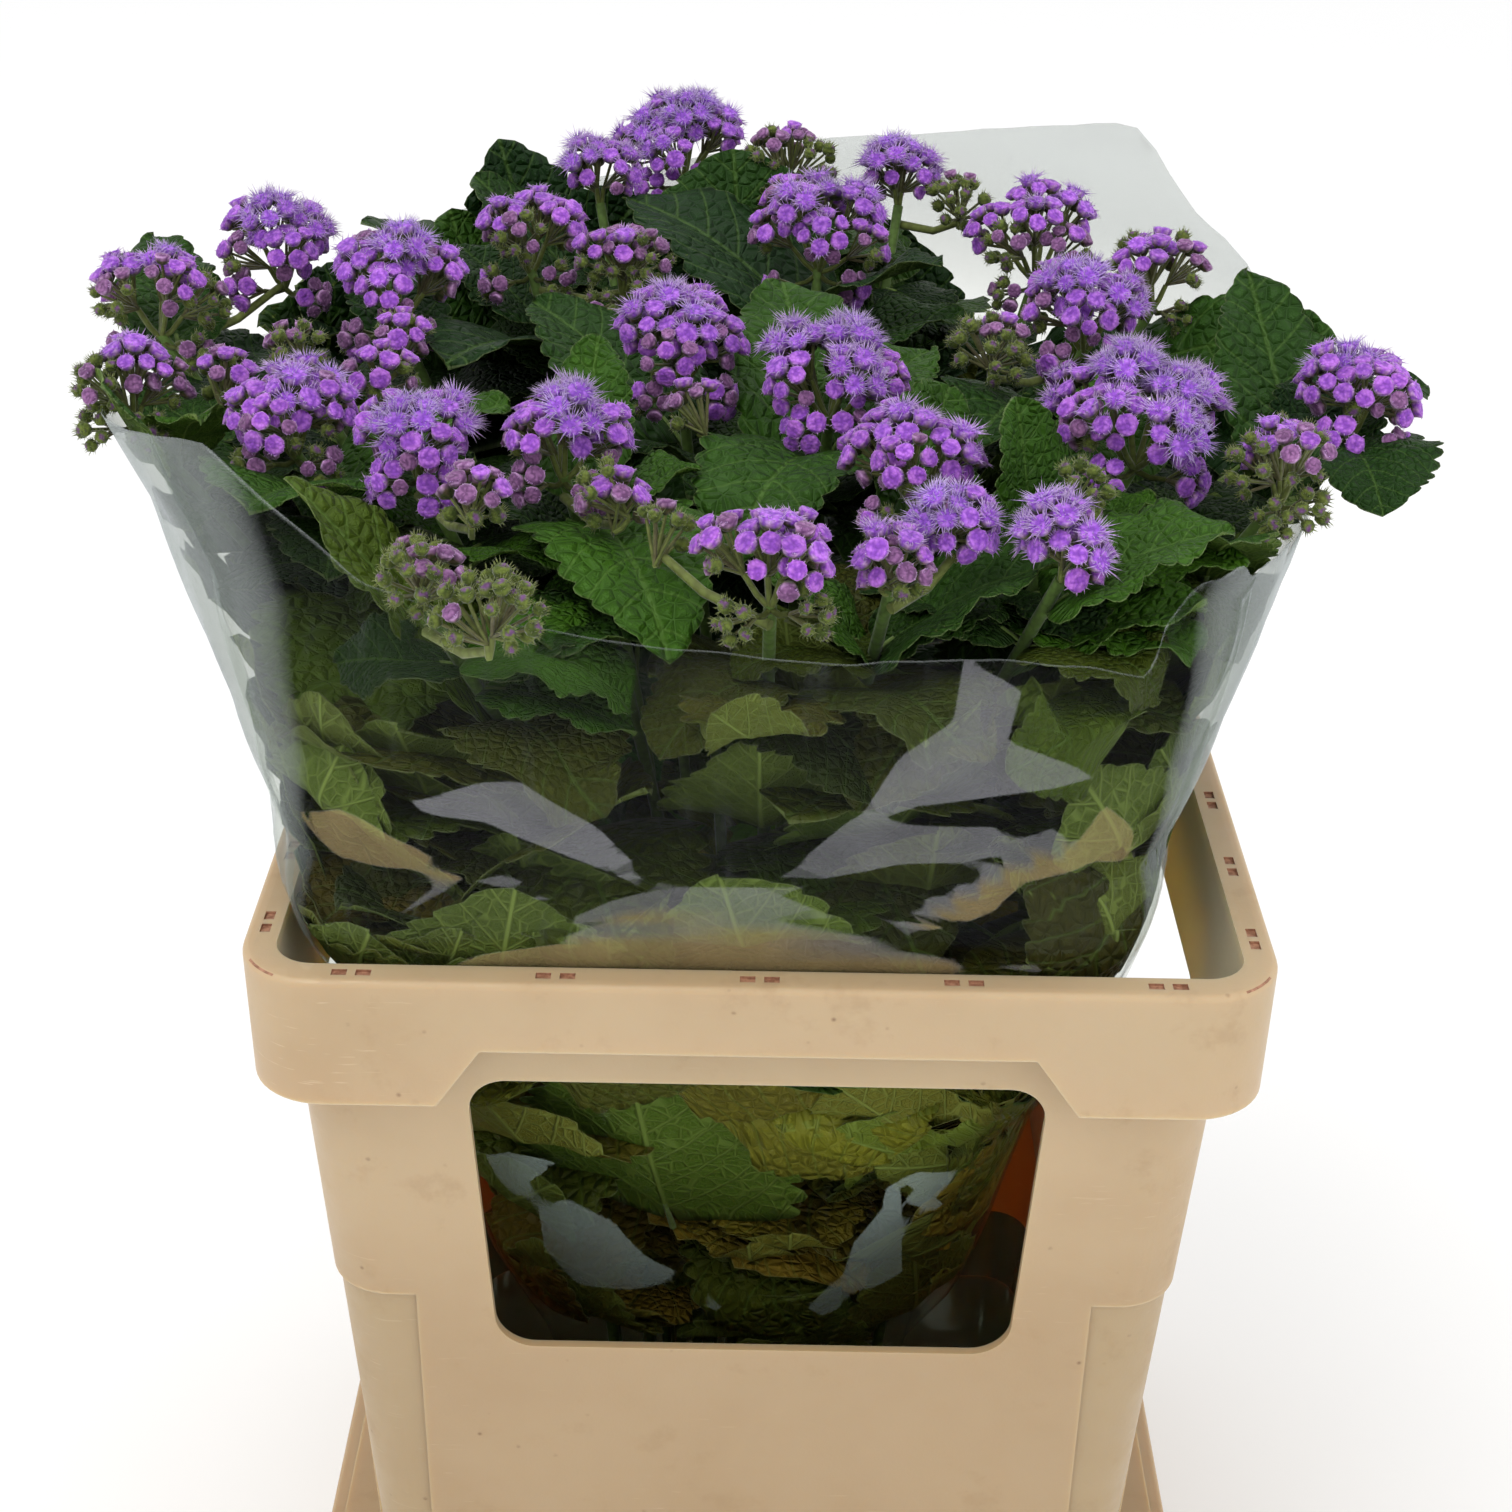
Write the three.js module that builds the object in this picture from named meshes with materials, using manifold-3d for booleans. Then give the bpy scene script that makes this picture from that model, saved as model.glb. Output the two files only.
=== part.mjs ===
import * as THREE from 'three';
import { ConvexHull } from 'three/addons/math/ConvexHull.js';
import { mergeVertices } from 'three/addons/utils/BufferGeometryUtils.js';
import Module from 'manifold-3d';

// Cut ageratum in a clear film sleeve, standing in water in a flower bucket with a windowed collar.
// Millimetres, +Z up, front towards -Y. The origin is the centre of the bucket's underside.

const SEAT = 0.3; // gap kept between two pieces that rest on each other

// Bucket and collar share one plan: a 300 by 400 rim with rounded corners.
const RIM_HALF = [150, 200];
const RIM_RADIUS = 23;
const RIM_FACE = 10; // width of the flat ring on top
const RIM_BEVEL = 2;
const SKIRT_WALL = 3;
const WALL = 3;
const WALL_INSET = 12; // from the rim's outside to the wall's outside, under the rim
const WALL_RADIUS = 20;
const NECK_RADIUS = 16; // of the wall's outside where it meets the rim
const MOUTH_RADIUS = 12; // of the rim's inner edge
const DRAFT = Math.tan(THREE.MathUtils.degToRad(3.3));
const ARC_STEPS = 3; // straight steps in each quarter of a rounded corner

const BUCKET_TOP = 165;
const BUCKET_SKIRT = 30;
const BUCKET_FLOOR = 3;
const WATER_TOP = 66;
const WATER_HOLE = 0.36; // room round each stem

const COLLAR_TOP = 440;
const COLLAR_SKIRT = 42.5; // deep at the corners
const COLLAR_SKIRT_MIDDLE = 23; // cut up between them
const SKIRT_SLOPE = 14; // how far the sloped ends of that cut run sideways
const SKIRT_CORNER = 56; // length of the deep part, from the rim's end
const COLLAR_FLANGE = [6, 4]; // inset from the rim's outside, and thickness
const COLLAR_SPIGOT = [2.2, 12]; // clearance in the bucket's mouth, and depth
const POST_STEP_Z = 314; // the corner posts step back below this
const POST_STEP = 1.6;
const POST_WIDTH = 45;
const WINDOW_Z = [293, 399];
const WINDOW_MARGIN = 64; // from the rim's end to the window's side
const WINDOW_TAPER = 0.055; // sideways lean of its sides
const WINDOW_RADIUS = 12;

// Film sleeve: sections by height, as left, right, front, back and squareness.
const FILM = 0.8;
const FILM_SIDES = 28;
const FILM_SECTIONS = [
  [84, -60, 50, -60, 58, 2],
  [190, -84, 58, -84, 70, 2.2],
  [240, -96, 80, -102, 86, 2.6],
  [340, -108, 97, -132, 116, 3],
  [395, -120, 106, -155, 140, 3.6],
  [440, -139.7, 120, -189.7, 164, 5],
  [500, -184, 160, -200, 186, 2.6],
  [590, -236, 208, -210, 214, 2.2],
];
const SEAM_SIDES = [17, 25]; // which of its sides carry the two flattened side seams
const SEAM_FLAPS = [[340, 2], [440, 7], [600, 14]]; // width of a seam's flap by height
// Height of the sleeve's mouth at equal turns, from the right seam round the back.
const FILM_EDGE = [553, 530, 534, 548, 574, 588, 580, 556, 540, 530, 536, 556, 570, 547, 544, 544];
const FILM_EDGE_START = -52; // degrees

// Each stem carries the flower clusters in its row: x, y, height over the rim, radius, share open.
const STEMS = [
  [[-206, 22, 128, 24, 0.2], [-171, 64, 133, 24, 0.8]],
  [[-198, -56, 125, 21, 0.1], [-171, -46, 123, 13, 0]],
  [[-128, 36, 131, 26, 0.6], [-122, -2, 121, 14, 0]],
  [[-151, -20, 124, 15, 0], [-123, -40, 121, 14, 0]],
  [[-144, -77, 124, 23, 0.5]],
  [[-104, -98, 125, 20, 0.9], [-84, -136, 120, 14, 0.1]],
  [[-92, -180, 117, 16, 0.1], [-73, -199, 114, 17, 0]],
  [[-61, -95, 125, 22, 0.8], [-44, -127, 118, 13, 0]],
  [[-86, 84, 133, 24, 0.3], [-52, 62, 130, 19, 0]],
  [[-65, 146, 137, 18, 0.9]],
  [[-35, 190, 140, 27, 0.9]],
  [[6, 166, 139, 20, 0]],
  [[48, 150, 137, 18, 0.9], [70, 132, 134, 14, 0]],
  [[17, 96, 134, 28, 0.5]],
  [[-29, -16, 129, 25, 0.7], [-22, -56, 121, 12, 0]],
  [[19, -43, 127, 25, 0.9]],
  [[95, 86, 134, 26, 0.3]],
  [[133, 54, 132, 19, 0]],
  [[105, 14, 131, 24, 0.9], [72, -14, 126, 16, 0]],
  [[112, -73, 127, 29, 0.9]],
  [[152, -98, 122, 20, 0]],
  [[43, -105, 123, 23, 0.3]],
  [[1, -172, 120, 22, 0.1], [-30, -148, 118, 12, 0]],
  [[34, -166, 118, 13, 0.1], [52, -150, 121, 14, 0.9]],
  [[81, -160, 120, 16, 0.8]],
  [[88, -122, 121, 12, 0]],
  [[182, -52, 127, 21, 0.9]],
];
const STEM_RADIUS = 2.5;
const STEM_SIDES = 5;
const STEM_RINGS = [280, 400, 480]; // heights at which a stem bends above the water
const FAN_START = 66;
const FAN_POWER = 2.6;
const FOOT_SCALE = 0.24; // the bundle's plan at its foot, as a share of its plan at the top
const FOOT_SPACING = 8;
const STALK = 28; // last stretch below a cluster
const STALK_LEAN = 0.09; // how much it leans out, as a share of the cluster's distance

const CLUSTER_RADIUS = 24; // the size of cluster that the number of heads is for
const HEADS = 13;
const LEAST_HEADS = 6;
const CLUSTER_SPREAD = THREE.MathUtils.degToRad(112); // from the top round to the lowest heads
const CORE_SHARE = 0.8; // the core's radius in the cluster's
const CORE_FLATNESS = 0.66;
const UNDERSIDE_SLOPE = 0.16; // how fast a cluster's underside rises round its stem
const HEAD_GROOVE = 0.2; // how far the groove between heads reaches in, as a share of a head
const HEAD_DIMPLE = -0.8; // of a closed head's middle under its edge
const OPEN_NOTCH = 0.7; // how high every other point of an open head's edge stands
const OPEN_RISE = 2.4; // of an open head's middle over its edge
const GOLDEN_ANGLE = Math.PI * (3 - Math.sqrt(5));

// Leaf blade: half width at stations along the midrib, as shares of the length and the half width.
const BLADE = 0.8;
const PETIOLE_HALF = 1.3;
const LEAF_MARGIN = [[0.15, 0.06], [0.22, 0.8], [0.38, 1], [0.5, 0.84], [0.64, 0.86], [0.8, 0.5]];
const LEAF_MIDRIB = [0.34, 0.64];
const LEAF_TURN = 4; // the margin point from which the outer of the two midrib points serves
const LEAF_FOLD = 0.3; // how much the two halves lift from the midrib
const LEAF_WAVE = 1.2;
const LEAF_CLEARANCE = 0.9; // by which a leaf's test copy is thicker and longer
const BLADE_START = 0.13; // where a blade is tested against its own stem, past its petiole

// Leaves that show between the clusters: stem, height over the rim, azimuth, rise, arch, length,
// width and roll, with the angles in degrees.
const SHOWN_LEAVES = [
  [14, 95, 145, 55, 40, 95, 64, 0],
  [9, 85, -110, 40, 45, 95, 58, 0],
  [15, 90, 140, 40, 30, 80, 54, 0],
  [16, 92, 100, 35, 20, 90, 52, 0],
  [16, 95, -110, 50, 80, 90, 52, 0],
  [22, 92, 75, 35, 20, 70, 40, 50],
  [26, 85, 170, 75, 10, 65, 46, 0],
  [26, 100, 60, 40, 30, 42, 36, 0],
  [25, 95, 20, 45, 40, 60, 50, 0],
  [25, 70, -60, 40, 30, 80, 46, 0],
  [27, 95, 100, 35, 0, 85, 42, 0],
  [27, 110, -85, 50, 60, 62, 58, 0],
  [27, 105, 40, 45, 30, 45, 44, 0],
  [18, 95, -40, 35, 30, 90, 36, 40],
  [21, 75, -75, 50, 30, 65, 38, 0],
  [5, 90, -105, 45, 50, 65, 60, 0],
  [7, 55, -170, 55, 10, 95, 46, 0],
  [7, 85, -20, 25, 90, 55, 56, 0],
  [8, 90, -70, 35, 80, 95, 52, 0],
  [8, 85, -90, 35, 60, 80, 38, 50],
  [19, 90, -115, 60, 70, 80, 52, 0],
  [20, 100, 95, 45, 10, 55, 34, 0],
  [2, 95, -80, 65, 50, 42, 32, 0],
  [14, 100, -30, 45, 30, 60, 42, 0],
  [12, 110, -25, 65, 20, 50, 36, 0],
  [1, 105, 90, 30, 20, 70, 36, 0],
  [3, 105, 110, 30, 20, 60, 34, 0],
  [9, 100, 140, 30, 10, 50, 38, 0],
  [16, 95, 30, 50, 50, 60, 42, 0],
  [5, 92, 15, 45, 40, 65, 44, 0],
  [8, 100, 85, 35, 0, 65, 30, 0],
  [8, 95, 0, 40, 30, 42, 32, 0],
  [7, -35, -105, 10, -70, 105, 76, 0],
  [25, -35, -85, 10, -70, 105, 74, 0],
  [25, -70, -50, 10, -60, 100, 60, 0],
  [24, 0, -65, 15, -65, 95, 66, 0],
  [5, 60, -90, 10, 40, 100, 70, 0],
  [5, -60, -125, 10, -50, 100, 66, 0],
  [23, 10, -110, 15, -65, 80, 60, 0],
  [22, 30, -100, 15, -50, 95, 56, 0],
  [21, 10, -85, 20, -55, 80, 54, 0],
  [23, -165, -95, 5, -75, 104, 92, 0],
  [7, -170, -125, 10, -65, 90, 60, 0],
  [25, -170, -55, 10, -65, 90, 58, 0],
  [24, -220, -75, 10, -60, 70, 54, 0],
  [25, -230, -35, 15, -45, 75, 48, 0],
];
// The other leaves grow in pairs, whose two leaves point a spread to either side of outward: depth
// under the cluster, spread, rise, arch, length, width, how far out a stem stands to bear such a
// pair, and the share of those stems that do.
const LEAF_PAIRS = [
  [80, 45, 25, -45, 80, 58, 0.62, 0.42],
  [150, 40, 18, -55, 88, 62, 0.66, 0.4],
  [240, 35, 12, -60, 84, 58, 0.7, 0.3],
  [36, 90, 40, 45, 56, 42, 0, 0.2],
];
const BUNDLE_HALF = [205, 195]; // half the bundle's width and depth at the top
const PAIR_TWIST = 0.7; // the most that a pair is turned from outward, in all
// Turns, added rise and size tried in this order, until the leaf lies clear of all others.
const LEAF_TRIES = [
  [0, 0, 1], [18, 0, 1], [-18, 0, 1], [0, 14, 1], [0, -14, 1], [34, 8, 0.9], [-34, 8, 0.9],
  [0, 24, 0.8], [50, 0, 0.8], [-50, 0, 0.8], [0, -28, 0.8], [0, 30, 0.65],
];

const GREEN_STEM = new THREE.Color(0x5c7a35);
const CREAM = new THREE.Color(0xe2c69c);

const wasm = await Module();
wasm.setup();

function toSolid(geometry) {
  const bare = geometry.clone();
  bare.deleteAttribute('normal');
  bare.deleteAttribute('uv');
  const merged = mergeVertices(bare, 1e-5);
  return new wasm.Manifold(new wasm.Mesh({
    numProp: 3,
    vertProperties: new Float32Array(merged.attributes.position.array),
    triVerts: new Uint32Array(merged.index.array),
  }));
}

function toGeometry(solid) {
  const mesh = solid.getMesh();
  const geometry = new THREE.BufferGeometry();
  geometry.setAttribute('position', new THREE.BufferAttribute(new Float32Array(mesh.vertProperties), 3));
  geometry.setIndex(new THREE.BufferAttribute(new Uint32Array(mesh.triVerts), 1));
  geometry.computeVertexNormals();
  return geometry;
}

function joined(solids) {
  return solids.reduce((sum, solid) => sum.add(solid));
}

function fromFaces(points, triangles) {
  const geometry = new THREE.BufferGeometry();
  geometry.setFromPoints(points);
  geometry.setIndex(triangles.flat());
  return toSolid(geometry);
}

// A closed solid through convex rings that have the same number of points, from the lowest up.
function loft(rings) {
  const count = rings[0].length;
  const triangles = [];
  for (let level = 0; level < rings.length - 1; level += 1) {
    for (let i = 0; i < count; i += 1) {
      const a = level * count + i;
      const b = level * count + (i + 1) % count;
      triangles.push([a, b, b + count], [a, b + count, a + count]);
    }
  }
  const top = (rings.length - 1) * count;
  for (let i = 1; i < count - 1; i += 1) {
    triangles.push([0, i + 1, i], [top, top + i, top + i + 1]);
  }
  return fromFaces(rings.flat(), triangles);
}

// A rounded rectangle at height z, its half sizes shrunk by inset.
function ring(inset, radius, z) {
  const [halfX, halfY] = RIM_HALF.map((half) => half - inset - radius);
  const points = [];
  [[1, 1], [-1, 1], [-1, -1], [1, -1]].forEach(([sideX, sideY], corner) => {
    for (let step = 0; step <= ARC_STEPS; step += 1) {
      const turn = (corner + step / ARC_STEPS) * Math.PI / 2;
      const x = sideX * halfX + radius * Math.cos(turn);
      const y = sideY * halfY + radius * Math.sin(turn);
      points.push(new THREE.Vector3(x, y, z));
    }
  });
  return points;
}

function wallInset(z, top) {
  return WALL_INSET + (top - z) * DRAFT;
}

// Outside of a drafted wall between two heights, under a rim whose skirt starts at skirtZ.
function wallSolid(bottom, top, skirtZ, inset) {
  return loft([bottom, top].map((z) => ring(wallInset(z, skirtZ) + inset, WALL_RADIUS - inset, z)));
}

// A wall's outside from its foot up to its rim, where it flares out to meet the rim's inner edge.
function wallToRim(bottom, top, skirtZ) {
  return loft([
    ring(wallInset(bottom, skirtZ), WALL_RADIUS, bottom),
    ring(WALL_INSET, WALL_RADIUS, skirtZ),
    ring(RIM_FACE - WALL, NECK_RADIUS, top - 1),
  ]);
}

// The rim: a flat ring with a bevelled edge and a skirt that hangs clear of the wall.
function rimBand(top, skirt) {
  const band = loft([
    ring(0.6, RIM_RADIUS, top - skirt),
    ring(0, RIM_RADIUS, top - RIM_BEVEL),
    ring(RIM_BEVEL, RIM_RADIUS - RIM_BEVEL, top),
  ]);
  const pocket = loft([
    ring(SKIRT_WALL + 0.6, RIM_RADIUS - SKIRT_WALL, top - skirt - 1),
    ring(SKIRT_WALL, RIM_RADIUS - SKIRT_WALL, top - WALL),
  ]);
  return band.subtract(pocket);
}

// The room inside a wall, which widens to the rim's inner edge at the top.
function mouthRoom(bottom, top, skirtZ) {
  const neck = skirtZ - 12;
  return loft([
    ring(wallInset(bottom, skirtZ) + WALL, WALL_RADIUS - WALL, bottom),
    ring(wallInset(neck, skirtZ) + WALL, WALL_RADIUS - WALL, neck),
    ring(RIM_FACE, MOUTH_RADIUS, top - 4),
    ring(RIM_FACE, MOUTH_RADIUS, top + 1),
  ]);
}

function makeBucket() {
  const skirtZ = BUCKET_TOP - BUCKET_SKIRT;
  const wall = wallToRim(0, BUCKET_TOP, skirtZ);
  return wall.add(rimBand(BUCKET_TOP, BUCKET_SKIRT)).subtract(mouthRoom(BUCKET_FLOOR, BUCKET_TOP, skirtZ));
}

// A prism across the wall of side 'x' or 'y', from a shape drawn along the wall and up.
function acrossWall(shape, side) {
  const reach = Math.max(...RIM_HALF) + 10;
  const geometry = new THREE.ExtrudeGeometry(shape, { depth: 2 * reach, bevelEnabled: false });
  geometry.translate(0, 0, -reach);
  geometry.rotateX(Math.PI / 2);
  if (side === 'x') geometry.rotateZ(Math.PI / 2);
  return toSolid(geometry);
}

function windowShape(along) {
  const half = RIM_HALF[along] - WINDOW_MARGIN;
  const middle = (WINDOW_Z[0] + WINDOW_Z[1]) / 2;
  const rise = (WINDOW_Z[1] - WINDOW_Z[0]) / 2 - WINDOW_RADIUS;
  const points = [];
  [[1, 1], [-1, 1], [-1, -1], [1, -1]].forEach(([sideX, sideZ], corner) => {
    for (let step = 0; step <= ARC_STEPS; step += 1) {
      const turn = (corner + step / ARC_STEPS) * Math.PI / 2;
      const z = middle + sideZ * rise + WINDOW_RADIUS * Math.sin(turn);
      const lean = sideX * WINDOW_TAPER * (z - WINDOW_Z[1]);
      points.push(new THREE.Vector2(sideX * (half - WINDOW_RADIUS) + WINDOW_RADIUS * Math.cos(turn) + lean, z));
    }
  });
  return new THREE.Shape(points);
}

function skirtCutShape(along) {
  const low = RIM_HALF[along] - SKIRT_CORNER;
  const bottom = COLLAR_TOP - COLLAR_SKIRT - 1;
  const upper = COLLAR_TOP - COLLAR_SKIRT_MIDDLE;
  return new THREE.Shape([
    new THREE.Vector2(-low, bottom),
    new THREE.Vector2(low, bottom),
    new THREE.Vector2(low - SKIRT_SLOPE, upper),
    new THREE.Vector2(SKIRT_SLOPE - low, upper),
  ]);
}

// What the corner posts lose below their step.
function postRecess(bottom, skirtZ) {
  const outer = loft([ring(0, RIM_RADIUS, bottom), ring(0, RIM_RADIUS, POST_STEP_Z)]);
  const kept = wallSolid(bottom - 1, POST_STEP_Z + 1, skirtZ, POST_STEP);
  const spans = [0, 1].map((along) => {
    const half = RIM_HALF[along] - POST_WIDTH;
    const shape = new THREE.Shape([
      new THREE.Vector2(-half, bottom - 1),
      new THREE.Vector2(half, bottom - 1),
      new THREE.Vector2(half, POST_STEP_Z + 1),
      new THREE.Vector2(-half, POST_STEP_Z + 1),
    ]);
    return acrossWall(shape, along === 0 ? 'y' : 'x');
  });
  return outer.subtract(kept).subtract(spans[0]).subtract(spans[1]);
}

function makeCollar() {
  const skirtZ = COLLAR_TOP - COLLAR_SKIRT;
  const foot = BUCKET_TOP + SEAT;
  const [flangeInset, flangeThickness] = COLLAR_FLANGE;
  const [spigotClearance, spigotDepth] = COLLAR_SPIGOT;
  const spigotInset = RIM_FACE + spigotClearance;
  let rim = rimBand(COLLAR_TOP, COLLAR_SKIRT);
  rim = rim.subtract(acrossWall(skirtCutShape(0), 'y')).subtract(acrossWall(skirtCutShape(1), 'x'));
  const wall = wallToRim(foot, COLLAR_TOP, skirtZ).subtract(postRecess(foot + flangeThickness, skirtZ));
  const flange = loft([
    ring(flangeInset, RIM_RADIUS - flangeInset, foot),
    ring(flangeInset, RIM_RADIUS - flangeInset, foot + flangeThickness),
  ]);
  const spigot = loft([
    ring(spigotInset + 1, MOUTH_RADIUS - 2, foot - spigotDepth),
    ring(spigotInset, MOUTH_RADIUS - 2, foot + 1),
  ]);
  const spigotRoom = loft([
    ring(spigotInset + 1 + WALL, MOUTH_RADIUS - 2, foot - spigotDepth - 1),
    ring(spigotInset + WALL, MOUTH_RADIUS - 2, foot),
  ]);
  const collar = joined([wall, rim, flange, spigot.subtract(spigotRoom)]);
  return collar
    .subtract(mouthRoom(foot - 1, COLLAR_TOP, skirtZ))
    .subtract(acrossWall(windowShape(0), 'y'))
    .subtract(acrossWall(windowShape(1), 'x'));
}

// A repeatable draw between 0 and 1 for a whole number.
function draw(seed) {
  const value = Math.sin(seed * 12.9898) * 43758.5453;
  return value - Math.floor(value);
}

// Where the stems stand: the tops' plan scaled down, then pushed apart to the least spacing.
function stemFeet() {
  const feet = STEMS.map(([main]) => new THREE.Vector2(main[0] * FOOT_SCALE, main[1] * FOOT_SCALE));
  for (let round = 0; round < 60; round += 1) {
    for (let i = 0; i < feet.length; i += 1) {
      for (let j = i + 1; j < feet.length; j += 1) {
        const apart = feet[j].clone().sub(feet[i]);
        const short = FOOT_SPACING - apart.length();
        if (short > 0) {
          apart.setLength(short / 2);
          feet[i].sub(apart);
          feet[j].add(apart);
        }
      }
    }
  }
  return feet;
}

const FEET = stemFeet();

function clusterUnderside([, , rise, radius]) {
  return COLLAR_TOP + rise - radius * CORE_SHARE * CORE_FLATNESS;
}

// Where a stem bends: upright in the water, then fanning out, then a last stretch to its cluster.
function stalkPoints(main, index) {
  const foot = new THREE.Vector3(FEET[index].x, FEET[index].y, FAN_START);
  const under = clusterUnderside(main);
  const top = new THREE.Vector3(main[0] * (1 - STALK_LEAN), main[1] * (1 - STALK_LEAN), under - STALK);
  const fan = STEM_RINGS.map((z) => {
    const share = (z - FAN_START) / (top.z - FAN_START);
    return foot.clone().lerp(top, share ** FAN_POWER).setZ(z);
  });
  const lean = Math.atan2(Math.hypot(main[0], main[1]) * STALK_LEAN, STALK);
  const edge = STEM_RADIUS * Math.max(Math.sin(lean) - UNDERSIDE_SLOPE * Math.cos(lean), 0);
  const end = new THREE.Vector3(main[0], main[1], under - SEAT - edge);
  return [foot.clone().setZ(BUCKET_FLOOR + SEAT), foot, ...fan, top, end];
}

const STALKS = STEMS.map(([main], index) => stalkPoints(main, index));

// The stem's centre at height z.
function stalkPoint(index, z) {
  const points = STALKS[index];
  const high = Math.max(points.findIndex((point) => point.z > z), 1);
  const [from, to] = [points[high - 1], points[high]];
  return from.clone().lerp(to, (z - from.z) / (to.z - from.z));
}

// A route of straight stretches, so that an extrusion bends exactly at its points.
class Route extends THREE.Curve {
  constructor(points) {
    super();
    this.points = points;
  }

  getPoint(t, target = new THREE.Vector3()) {
    const last = this.points.length - 1;
    const span = Math.min(Math.floor(t * last), last - 1);
    return target.lerpVectors(this.points[span], this.points[span + 1], t * last - span);
  }

  getUtoTmapping(u) {
    return u;
  }
}

function tube(points, radius, sides) {
  const corners = Array.from({ length: sides }, (_, i) => {
    const turn = i * 2 * Math.PI / sides;
    return new THREE.Vector2(radius * Math.cos(turn), radius * Math.sin(turn));
  });
  const steps = points.length - 1;
  const options = { steps, bevelEnabled: false, extrudePath: new Route(points) };
  return toSolid(new THREE.ExtrudeGeometry(new THREE.Shape(corners), options));
}

// Points of a leaf: along its arching midrib, and out to either side at a share of its half width.
function leafSheet(base, { azimuth, rise, arch, length, width, roll }, grow, start) {
  const steps = 12;
  const midrib = [base.clone()];
  const headings = [];
  for (let step = 0; step <= steps; step += 1) {
    const lift = rise - arch * step / steps;
    const flat = Math.cos(lift);
    headings.push(new THREE.Vector3(flat * Math.cos(azimuth), flat * Math.sin(azimuth), Math.sin(lift)));
    midrib.push(midrib[step].clone().addScaledVector(headings[step], (length + grow) / steps));
  }
  const at = (list, t) => {
    const low = Math.min(Math.floor(t * steps), steps - 1);
    return list[low].clone().lerp(list[low + 1], t * steps - low);
  };
  const half = (width + grow) / 2;
  const point = (t, share, wave = 0) => {
    const heading = at(headings, t).normalize();
    const side = new THREE.Vector3(-Math.sin(azimuth), Math.cos(azimuth), 0).applyAxisAngle(heading, roll);
    const normal = heading.clone().cross(side);
    const fold = half * Math.abs(share) * LEAF_FOLD * (1 - 0.5 * Math.abs(share)) + wave;
    return at(midrib, t).addScaledVector(side, half * share).addScaledVector(normal, fold);
  };
  const petiole = PETIOLE_HALF / half;
  const points = [point(start, petiole), point(start, -petiole)];
  LEAF_MARGIN.forEach(([t, share], i) => {
    const wave = i === 0 ? 0 : LEAF_WAVE * (-1) ** i;
    points.push(point(t, share, wave), point(t, -share, -wave));
  });
  points.push(point(1, 0));
  LEAF_MIDRIB.forEach((t) => points.push(point(t, 0)));
  return points;
}

// Triangles between those points, the same for every leaf.
function leafFaces() {
  const last = LEAF_MARGIN.length;
  const left = (i) => 2 * i;
  const right = (i) => 2 * i + 1;
  const tip = 2 * last + 2;
  const [ribLow, ribHigh] = [tip + 1, tip + 2];
  const faces = [[left(0), right(1), right(0)], [left(0), left(1), right(1)], [left(1), ribLow, right(1)]];
  for (let i = 1; i < last; i += 1) {
    const rib = i < LEAF_TURN ? ribLow : ribHigh;
    faces.push([left(i), left(i + 1), rib], [right(i + 1), right(i), rib]);
  }
  faces.push([left(LEAF_TURN), ribHigh, ribLow], [ribHigh, right(LEAF_TURN), ribLow]);
  faces.push([left(last), tip, ribHigh], [tip, right(last), ribHigh]);
  return faces.map(([a, b, c]) => [a, c, b]);
}

function leafSolid(base, leaf, grow = 0, start = 0) {
  return thickened(leafSheet(base, leaf, grow, start), leafFaces(), BLADE + grow);
}

// Gives a sheet of triangles two alike faces and a wall round its edge.
function thickened(points, faces, thickness) {
  const normals = points.map(() => new THREE.Vector3());
  faces.forEach(([a, b, c]) => {
    const along = points[b].clone().sub(points[a]);
    const across = points[c].clone().sub(points[a]);
    const normal = along.cross(across);
    [a, b, c].forEach((corner) => normals[corner].add(normal));
  });
  const count = points.length;
  const upper = points.map((p, i) => p.clone().addScaledVector(normals[i].normalize(), thickness / 2));
  const lower = points.map((p, i) => p.clone().addScaledVector(normals[i], -thickness / 2));
  const triangles = [];
  const edges = new Set();
  faces.forEach(([a, b, c]) => {
    triangles.push([a, b, c], [a + count, c + count, b + count]);
    [[a, b], [b, c], [c, a]].forEach(([from, to]) => edges.add(`${from} ${to}`));
  });
  edges.forEach((edge) => {
    const [from, to] = edge.split(' ').map(Number);
    if (!edges.has(`${to} ${from}`)) {
      triangles.push([from, from + count, to + count], [from, to + count, to]);
    }
  });
  return fromFaces([...upper, ...lower], triangles);
}

// Directions of a cluster's heads: a spiral from the top round to under the rim, and the underside.
function headDirections(count, seed) {
  const directions = [];
  for (let i = 0; i < count; i += 1) {
    const tilt = Math.acos(1 - (1 - Math.cos(CLUSTER_SPREAD)) * (i + 0.4) / count);
    const turn = i * GOLDEN_ANGLE + seed;
    directions.push(new THREE.Vector3().setFromSphericalCoords(1, tilt, turn));
  }
  directions.push(new THREE.Vector3(0, -1, 0));
  return directions.map(({ x, y, z }) => new THREE.Vector3(z, x, y));
}

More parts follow.
